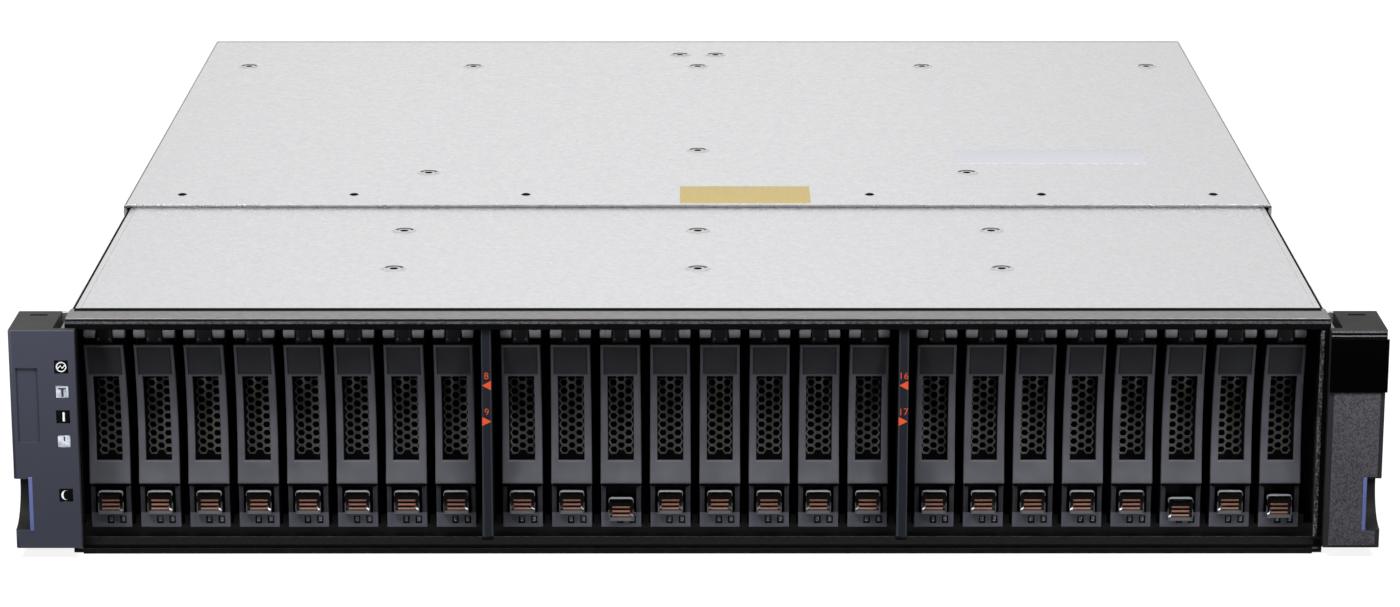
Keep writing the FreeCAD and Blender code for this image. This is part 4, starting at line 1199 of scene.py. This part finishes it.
# A strip of speckled painted highlight along the right opening's edge
JAMB_INSET = 3.0
JAMB = (-0.5, 0.9)
JAMB_RISE = (6.6, 82.3)
JAMB_DEPTH = (-2.12, -1.9)
JAMB_ROUND = 0.2
FRAME_ROUND = 0.3
POST_FRONT = -1.0
NUMBER_TALL = 2.5
NUMBER_WIDE = 3.1
NUMBER_THIN = 0.04
NUMBER_FEET = (64.4, 51.2)
CAPITAL_SHARE = 0.69
INK_PROUD = 0.08
ARROW = 1.6 * np.array([[-1, 0], [1, -1.05], [1, 1.05]])
ARROW_DROP = 2.3
LAMP_SIZE = 4.9
LAMP_LEFT = -225.4
LAMP_FEET = (68.1, 59.0, 49.9, 40.9, 21.1)
PALE_LAMPS = (1, 3)
LAMP_GAP = 0.15
LAMP_ROUND = 0.3
LAMP_DEPTH = (CAP_FACE + 0.2, CAP_FACE + 0.78)
MARK_PROUD = 0.05
STRIP = ((234.7, 236.1), (10.3, 30.2))
STRIP_PROUD = 0.2
STRIP_LET_IN = 6.0
STRIP_ROUND = 0.15
RIGHT_FACE = CAP_FACE + 0.4
CAP_PANEL = ((223.2, 239.7), (4.7, 60.9))
CAP_PANEL_NOTCH = ((234.6, 239.7), (10.2, 30.2))
CAP_PANEL_PROUD = 0.25
CAP_BAND = ((221.5, 241.9), (61.2, 80.6))
CAP_BAND_PROUD = 0.35
CAP_BAND_ROUND = 0.3
CAP_RIM = np.array([221.6, 241.0])
CAP_RIM_HEIGHTS = np.array([80.7, 81.45, 81.6, 81.85, 82.0, 82.9, 83.05, 83.45])
CAP_RIM_PROUD = np.array([0.42, 0.42, 0.38, 0.3, 0.16, 0.16, 0.12, 0.0])
# Which rim faces carry a painted highlight
CAP_RIM_HIGHLIGHT = np.array([0, 0, 1, 1, 0, 1, 1])


def written(text):
    """A number in the built-in face as flat points and faces, centred across, foot at nought."""
    curve = bpy.data.curves.new("number", "FONT")
    curve.body = text
    curve.align_x = "CENTER"
    curve.size = NUMBER_TALL * MM / CAPITAL_SHARE
    curve.resolution_u = 3
    curve.offset = -NUMBER_THIN * MM
    holder = bpy.data.objects.new("number", curve)
    bpy.context.scene.collection.objects.link(holder)
    bpy.context.view_layer.update()
    flat = bpy.data.meshes.new_from_object(holder.evaluated_get(bpy.context.evaluated_depsgraph_get()))
    points = np.empty(len(flat.vertices) * 3)
    flat.vertices.foreach_get("co", points)
    faces = [list(face.vertices) for face in flat.polygons]
    bpy.data.objects.remove(holder)
    bpy.data.curves.remove(curve)
    bpy.data.meshes.remove(flat)
    return points.reshape(-1, 3)[:, :2] / MM, faces


def raised(shell, figure, depth, proud, place, finish=0):
    """A flat figure lifted off a front face: its front, its back and walls along its border."""
    flat, faces = figure
    count = len(flat)
    across, up = (flat + place).T
    depths = (depth - proud, depth)
    points = np.concatenate([facing_front(across, up, np.full(count, face)) for face in depths])
    edges = [(face[k - 1], face[k]) for face in faces for k in range(len(face))]
    known = set(edges)
    walls = [[b, a, a + count, b + count] for a, b in edges if (b, a) not in known]
    backs = [[corner + count for corner in face[::-1]] for face in faces]
    shell.add(points, faces + backs + walls, finish)


def ribbon(first, second, closed=False):
    """A flat figure of quads between two rows of points, joined end to end if it is closed."""
    count = len(first)
    here = np.arange(count if closed else count - 1)
    after = (here + 1) % count
    faces = np.stack([here, after, after + count, here + count], axis=-1)
    return np.concatenate([first, second]), faces.tolist()


def ring_figure(outer, inner, segments=28):
    """A flat ring between two circles."""
    angle = np.linspace(0, 2 * math.pi, segments, endpoint=False)
    spoke = np.stack([np.cos(angle), np.sin(angle)], axis=-1)
    return ribbon(spoke * outer, spoke * inner, closed=True)


def crescent_figure(radius, shift, steps=14):
    """A flat crescent between an outer arc and the same arc drawn towards its horns."""
    angle = np.linspace(math.radians(75), math.radians(285), steps)
    outer = radius * np.stack([np.cos(angle), np.sin(angle)], axis=-1)
    bulge = np.sin(np.linspace(0, math.pi, steps))[:, None]
    return ribbon(outer, outer + bulge * np.array([shift, 0]))


def stroke_figure(width, *points):
    """A flat stroke of even width along a few points, between its two sides."""
    path = np.array(points, float)
    run = np.gradient(path, axis=0)
    side = np.stack([-run[:, 1], run[:, 0]], axis=-1)
    side *= width / 2 / np.linalg.norm(side, axis=1, keepdims=True)
    return ribbon(path - side, path + side)


def lamp_marks():
    """The signs in the left cap's windows: the number of the window, and a flat figure."""
    return [
        (0, ring_figure(1.85, 1.45)),
        (0, stroke_figure(0.42, (-1.3, -0.55), (-0.25, 0.5), (0.25, -0.5), (1.3, 0.55))),
        (1, stroke_figure(0.75, (0.1, -1.7), (0.1, 0.0), (0.1, 1.0))),
        (1, stroke_figure(0.5, (-1.3, 1.2), (0, 1.2), (1.5, 1.2))),
        (2, stroke_figure(0.75, (0.2, -1.6), (0.2, 0.0), (0.2, 1.6))),
        (3, stroke_figure(0.5, (0.2, 0.1), (0.2, 0.9), (0.2, 1.8))),
        (4, crescent_figure(1.75, 0.75)),
    ]


def notch_strip(name, side, face, colours):
    """The strip along the inner edge of a finger notch, a rounded block let into the cap's face."""
    strip = Shell()
    depth = (face - STRIP_PROUD, face + STRIP_LET_IN)
    strip.block(facing_front, on_side(side, *STRIP[0]), STRIP[1], depth, STRIP_ROUND)
    fitted(name, strip, [moulded("notch strip", colours.strip, 0.45)], "cap_plastic")


class ARRAY_OT_front_frame(bpy.types.Operator):
    """Finish the black frame and number the posts between the bay groups"""

    bl_idname = "array.front_frame"
    bl_label = "Front frame"

    def execute(self, context):
        colours = settings(context)[1]
        dress("front_frame", frame_plastic("frame paint", colours), FRAME_ROUND)
        # A speckled grey strip down the right jamb is a painted highlight.
        jamb_highlight = Shell()
        right = box_of("front_frame")[1][0] - JAMB_INSET
        jamb_highlight.block(facing_front, (right + JAMB[0], right + JAMB[1]), JAMB_RISE, JAMB_DEPTH, JAMB_ROUND)
        highlighted = speckled("worn edge", toned(colours.rim, 0.03), toned(colours.rim, 0.75), 1200, 0.46, 0.72)
        fitted("frame_edge_highlight", jamb_highlight, [highlighted], "black_plastic")
        orange = paper("number ink", colours.number, 0.06)
        for group in (1, 2):
            last, post = group * BAYS_PER_GROUP, post_middle(group)
            shell = Shell()
            for number, foot, sign in zip((last, last + 1), NUMBER_FEET, (1, -1)):
                flat, faces = written(str(number))
                narrow = min(1.0, NUMBER_WIDE / np.ptp(flat[:, 0]))
                arrow = (ARROW[::sign] * (sign, 1), [[0, 1, 2]])
                raised(shell, (flat * (narrow, 1), faces), POST_FRONT, INK_PROUD, (post, foot))
                raised(shell, arrow, POST_FRONT, INK_PROUD, (post, foot - ARROW_DROP))
            fitted("bay_numbers_%d" % group, shell, [orange], "black_plastic")
        return {"FINISHED"}


class ARRAY_OT_left_cap(bpy.types.Operator):
    """Finish the left end cap and fill its five lamp windows"""

    bl_idname = "array.left_cap"
    bl_label = "Left end cap"

    def execute(self, context):
        sizes, colours = settings(context)
        plastic = cap_plastic("left cap plastic", colours.cap, colours.cap_body, -1)
        dress("left_end_cap", plastic, sizes.mould_round)
        lenses, marks = Shell(), Shell()
        glass = LAMP_SIZE - 2 * LAMP_GAP
        middle = LAMP_LEFT + LAMP_SIZE / 2
        rows = [foot + LAMP_SIZE / 2 for foot in LAMP_FEET]
        for number, row in enumerate(rows):
            lenses.block(facing_front, about(middle, glass), about(row, glass), LAMP_DEPTH, LAMP_ROUND,
                         int(number in PALE_LAMPS))
        for number, figure in lamp_marks():
            place = (middle, rows[number])
            raised(marks, figure, LAMP_DEPTH[0], MARK_PROUD, place, int(number in PALE_LAMPS))
        glasses = [
            glossy("dark lens", toned(colours.frame, 0.8), 0.2, 0.3),
            frosted("frosted lens", colours.frosted)]
        inks = [paper("white mark", colours.mark), paper("grey mark", toned(colours.cap, 0.8))]
        fitted("left_cap_lenses", lenses, glasses, "cap_plastic")
        fitted("left_cap_marks", marks, inks, "cap_plastic")
        notch_strip("left_notch_strip", -1, CAP_FACE, colours)
        return {"FINISHED"}


class ARRAY_OT_right_cap(bpy.types.Operator):
    """Finish the right end cap, its speckled panel and its bare gloss band"""

    bl_idname = "array.right_cap"
    bl_label = "Right end cap"

    def execute(self, context):
        sizes, colours = settings(context)
        face, body = toned(colours.cap_right, 0.35), toned(colours.cap_body, 0.36)
        dress("right_end_cap", cap_plastic("right cap plastic", face, body, 1), sizes.mould_round)
        panel, band, rim = Shell(), Shell(), Shell()
        panel_depth = (RIGHT_FACE - CAP_PANEL_PROUD, RIGHT_FACE + SET_IN)
        band_depth = (CAP_FACE - CAP_BAND_PROUD, CAP_FACE + SET_IN)
        panel.pierced(facing_front, CAP_PANEL, CAP_PANEL_NOTCH, panel_depth, CAP_PANEL_PROUD, 3)
        band.block(facing_front, *CAP_BAND, band_depth, CAP_BAND_ROUND)
        # Pale specks on some rim ledges are a painted highlight.
        rim.plate(facing_front, CAP_RIM, CAP_RIM_HEIGHTS, CAP_FACE - CAP_RIM_PROUD, RIGHT_FACE,
                  finish=CAP_RIM_HIGHLIGHT)
        grained = speckled("right cap panel", toned(colours.cap_right, 0.55), toned(colours.cap_right, 1.45))
        gloss = glossy("gloss band", toned(colours.band, 0.5), 0.08, 0.06)
        highlighted = speckled("worn cap edge", toned(colours.rim, 0.12), toned(colours.rim, 0.4))
        fitted("right_cap_panel", panel, [grained], "cap_plastic")
        fitted("right_cap_band", band, [gloss], "cap_plastic")
        fitted("right_cap_rim", rim, [glossy("cap rim", colours.frame, 0.2, 0.2), highlighted], "cap_plastic")
        notch_strip("right_notch_strip", 1, RIGHT_FACE, colours)
        return {"FINISHED"}


# Pieces of the rear modules

PORT_ROW = 13.0
# Each kind of port: places across, opening, tongue, and how far the tongue lies below the row
DRIVE_LINKS = ((-76.0, -44.0, -12.0), (23.0, 8.4), (17.0, 1.2), 0.0)
NETWORK = ((16.0, 34.0), (12.4, 10.2), (8.5, 1.0), 2.4)
PORT_RIM = 1.1
PORT_RIM_PROUD = 0.5
PORT_RIM_ROUND = 0.4
BLADE_DEPTH = (-REAR_FACE + 3.0, -REAR_FACE + 13.5)
BLADE_ROUND = 0.2
GILT_DEPTH = (-REAR_FACE + 3.4, -REAR_FACE + 12.0)
GILT_WIDTH = 0.7
GILT_THICK = 0.12
REAR_LAMPS = (-100, -95, -90)
REAR_LAMP_SIZE = (1.2, 0.5)
REAR_LAMP_GREEN = (0.1, 0.45, 0.12)
INLET_CENTRE = -78.0
INLET_PINS = ((-7, -1.5), (7, -1.5), (0, 3.0))
INLET_PIN_SIZE = (2.0, 4.0)
INLET_PIN_DEPTH = (-REAR_FACE + 1.5, -REAR_FACE + 15.9)
INLET_PIN_ROUND = 0.3
THUMB_SCREWS = (-103.5, 103.5)
MODULE_ROUND = 0.3

# Numbers of the finishes in the rear fittings; nought is the main one
BLADE, GILT, LAMP = range(1, 4)


def port_rim(shell, centre, row, width, height):
    """A pressed rim round a socket: a plate with a window, rounded at its outer edge."""
    outline = (about(centre, width + 2 * PORT_RIM), about(row, height + 2 * PORT_RIM))
    hole = (about(centre, width), about(row, height))
    depth = (-REAR_FACE - PORT_RIM_PROUD, -REAR_FACE + SET_IN)
    shell.pierced(facing_rear, outline, hole, depth, PORT_RIM_ROUND, 2)


def port_tongue(shell, centre, row, width, height):
    """The contact blade inside a socket, with a row of gilded strips on it."""
    top = row + height / 2
    shell.block(facing_rear, about(centre, width), about(row, height), BLADE_DEPTH, BLADE_ROUND, BLADE)
    for offset in np.linspace(-0.42, 0.42, 7) * width:
        strip = about(centre + offset, GILT_WIDTH)
        shell.block(facing_rear, strip, (top, top + GILT_THICK), GILT_DEPTH, finish=GILT)


def controller_sockets(shell, middle, side, row):
    """A controller's drive-link and network ports, each a rim and a tongue, and its three lamps."""
    for centres, opening, tongue, drop in (DRIVE_LINKS, NETWORK):
        for centre in centres:
            at = -(middle + side * centre)
            port_rim(shell, at, row, *opening)
            port_tongue(shell, at, row - drop, *tongue)
    for offset in REAR_LAMPS:
        place = (middle + side * offset, REAR_FACE, row)
        shell.dome(*REAR_LAMP_SIZE, place, 14, LAMP, facing_rear, 4)


def inlet_pins(shell, middle, side, row):
    """The three rounded pins in a power module's mains inlet."""
    at = -(middle + side * INLET_CENTRE)
    for offset, lift in INLET_PINS:
        span, rise = about(at + offset, INLET_PIN_SIZE[0]), about(row + lift, INLET_PIN_SIZE[1])
        shell.block(facing_rear, span, rise, INLET_PIN_DEPTH, INLET_PIN_ROUND)


def thumb_screw(shell, across, row):
    """A captive thumb screw: a stepped profile turned about the rear face's normal."""
    radii = np.array([4.6, 4.6, 4.2, 4.2, 2.2, 2.2, 0.0])
    heights = np.array([-SET_IN, 1.0, 1.0, 7.0, 7.6, 7.2, 7.2])
    shell.turned(radii, heights, (across, REAR_FACE, row), 28, 0, facing_rear)


class ARRAY_OT_rear_modules(bpy.types.Operator):
    """Finish the controllers and power modules and fit out their sockets"""

    bl_idname = "array.rear_modules"
    bl_label = "Rear modules"

    def execute(self, context):
        colours = settings(context)[1]
        finishes = [
            brushed("socket rim", toned(colours.module, 1.05)),
            moulded("socket plastic", toned(colours.frame, 1.1)),
            brushed("gilded contacts", colours.gold),
            glossy("rear lamp", REAR_LAMP_GREEN)]
        for hand, side in (("left", -1), ("right", 1)):
            for kind in ("controller", "power_module"):
                name = "%s_%s" % (hand, kind)
                low, high = box_of(name)
                dress(name, module_steel(name + " finish", colours), MODULE_ROUND)
                middle, row = (low[0] + high[0]) / 2, (low[2] + high[2]) / 2
                shell = Shell()
                if kind == "controller":
                    controller_sockets(shell, middle, side, low[2] + PORT_ROW)
                else:
                    inlet_pins(shell, middle, side, row)
                for offset in THUMB_SCREWS:
                    thumb_screw(shell, middle + side * offset, row)
                fitted(name + "_fittings", shell, finishes, "module_steel", name)
        return {"FINISHED"}


# Stage

CAMERA_PLACE = (-0.09, -1418.98, 467.64)
CAMERA_PITCH = 14.8386
CAMERA_YAW = -0.034
CAMERA_LENS = 107.716
FLOOR_REACH = 8000.0
# Each lamp on the right: place, size and power, and the point it faces, in metres and watts
KEY_LIGHT = ((0.75, -0.97, 1.74), (0.9, 0.5), 34.5, (0.1, -0.2, 0))
FRONT_FILL = ((0.95, -1.15, 0.15), (0.2, 0.14), 3.7, (0, -0.25, 0.05))


def studio_world():
    """White for the camera; in reflections bright above and behind, dimmer aside and towards the camera."""
    world = bpy.data.worlds.new("studio")
    bpy.context.scene.world = world
    world.use_nodes = True
    sky = Patterns(world.node_tree)
    way = sky.node("SeparateXYZ", {"Vector": sky.node("TexCoord", {})["Generated"]})
    behind = sky.spread(way["Y"], 0.22, 1.0, -0.75, 0.1)
    aside = sky.worked("ABSOLUTE", sky.worked("ADD", way["X"], 0.025))
    seen = sky.worked("MULTIPLY", behind, sky.spread(aside, 1.0, 0.84, 0.06, 0.155))
    path = sky.node("LightPath", {})
    lit = sky.node("Mix", {"Factor": path["Is Diffuse Ray"], "A": seen, "B": 0.06})["Result"]
    shown = sky.node("Mix", {"Factor": path["Is Camera Ray"], "A": lit, "B": 1.0})["Result"]
    back = world.node_tree.nodes["Background"]
    sky.feed(back.inputs["Strength"], shown)
    sky.feed(back.inputs["Color"], (1, 1, 1, 1))


def floor_finish():
    """Pale floor: white with a faint shadow to the eye, pale in reflections beside and behind the
    array, and dimmer as it lights the array."""
    floor = Finish("floor")
    floor.tree.nodes.remove(floor.shader)
    path = floor.node("LightPath", {})
    dim = floor.node("BsdfDiffuse", {"Color": (0.06, 0.06, 0.06, 1)})["BSDF"]
    white = floor.node("BsdfDiffuse", {"Color": (0.2, 0.2, 0.2, 1)})["BSDF"]
    glow = floor.node("Emission", {"Strength": 0.88})["Emission"]
    pale = floor.node("AddShader", {0: white, 1: glow})["Shader"]
    near = floor.spread(floor.along("Y"), 0, 0.75, -0.25, 0.05)
    beside = floor.worked("MULTIPLY", path["Is Glossy Ray"], near)
    shown = floor.worked("MAXIMUM", path["Is Camera Ray"], beside)
    mixed = floor.node("MixShader", {"Fac": shown, 1: dim, 2: pale})["Shader"]
    floor.feed(floor.tree.nodes["Material Output"].inputs["Surface"], mixed)
    return floor.material


def soft_light(name, side, place, size, power, aim):
    """A rectangular lamp at a place on the left (-1) or the right (1), turned to face a point."""
    lamp = bpy.data.lights.new(name, "AREA")
    lamp.shape = "RECTANGLE"
    lamp.size, lamp.size_y = size
    lamp.energy = power
    made = bpy.data.objects.new(name, lamp)
    mirror = np.array([side, 1, 1])
    made.location = place * mirror
    way = (np.array(aim) - place) * mirror
    pitch = math.atan2(math.hypot(way[0], way[1]), -way[2])
    made.rotation_euler = (pitch, 0, math.atan2(-way[0], way[1]))
    bpy.context.scene.collection.objects.link(made)


class ARRAY_OT_stage(bpy.types.Operator):
    """Set the floor, the light and the camera"""

    bl_idname = "array.stage"
    bl_label = "Stage"

    def execute(self, context):
        scene = context.scene
        scene.view_settings.view_transform = "Standard"
        shell = Shell()
        ends = np.array([-FLOOR_REACH, FLOOR_REACH])
        wide, deep = np.meshgrid(ends, ends - FRONT_EDGE / MM, indexing="ij")
        shell.grid(np.stack([wide, deep, np.zeros((2, 2))], axis=-1)[:, ::-1])
        floor = bpy.data.objects.new("floor", shell.mesh("floor", [floor_finish()]))
        scene.collection.objects.link(floor)
        studio_world()
        for side in (-1, 1):
            soft_light("key light", side, *KEY_LIGHT)
            soft_light("front fill", side, *FRONT_FILL)
        camera = bpy.data.cameras.new("camera")
        camera.lens = CAMERA_LENS
        camera.clip_end = 100
        made = bpy.data.objects.new("camera", camera)
        made.location = in_metres(CAMERA_PLACE)
        made.rotation_euler = (math.radians(90 - CAMERA_PITCH), 0, math.radians(CAMERA_YAW))
        scene.collection.objects.link(made)
        scene.camera = made
        return {"FINISHED"}


OPERATORS = (
    ARRAY_OT_sheet_metal,
    ARRAY_OT_stickers,
    ARRAY_OT_front_frame,
    ARRAY_OT_inside,
    ARRAY_OT_carriers,
    ARRAY_OT_handles,
    ARRAY_OT_left_cap,
    ARRAY_OT_right_cap,
    ARRAY_OT_rear_modules,
    ARRAY_OT_stage,
)


class ARRAY_PT_panel(bpy.types.Panel):
    """Lists the array's operators, sizes and colours in the sidebar"""

    bl_idname = "ARRAY_PT_panel"
    bl_label = "Storage array"
    bl_space_type = "VIEW_3D"
    bl_region_type = "UI"
    bl_category = "Array"

    def draw(self, context):
        for operator in OPERATORS:
            self.layout.operator(operator.bl_idname)
        for group in (context.scene.array_sizes, context.scene.array_colours):
            column = self.layout.column()
            for key in group.__annotations__:
                column.prop(group, key)


CLASSES = (ArraySizes, ArrayColours, *OPERATORS, ARRAY_PT_panel)


def register():
    for kind in CLASSES:
        bpy.utils.register_class(kind)
    bpy.types.Scene.array_sizes = PointerProperty(type=ArraySizes)
    bpy.types.Scene.array_colours = PointerProperty(type=ArrayColours)


def unregister():
    del bpy.types.Scene.array_colours
    del bpy.types.Scene.array_sizes
    for kind in reversed(CLASSES):
        bpy.utils.unregister_class(kind)


def main():
    """Register the classes and make every piece in order."""
    register()
    bpy.ops.array.sheet_metal()
    bpy.ops.array.stickers()
    bpy.ops.array.front_frame()
    bpy.ops.array.inside()
    bpy.ops.array.carriers()
    bpy.ops.array.handles()
    bpy.ops.array.left_cap()
    bpy.ops.array.right_cap()
    bpy.ops.array.rear_modules()
    bpy.ops.array.stage()


if __name__ == "__main__":
    main()
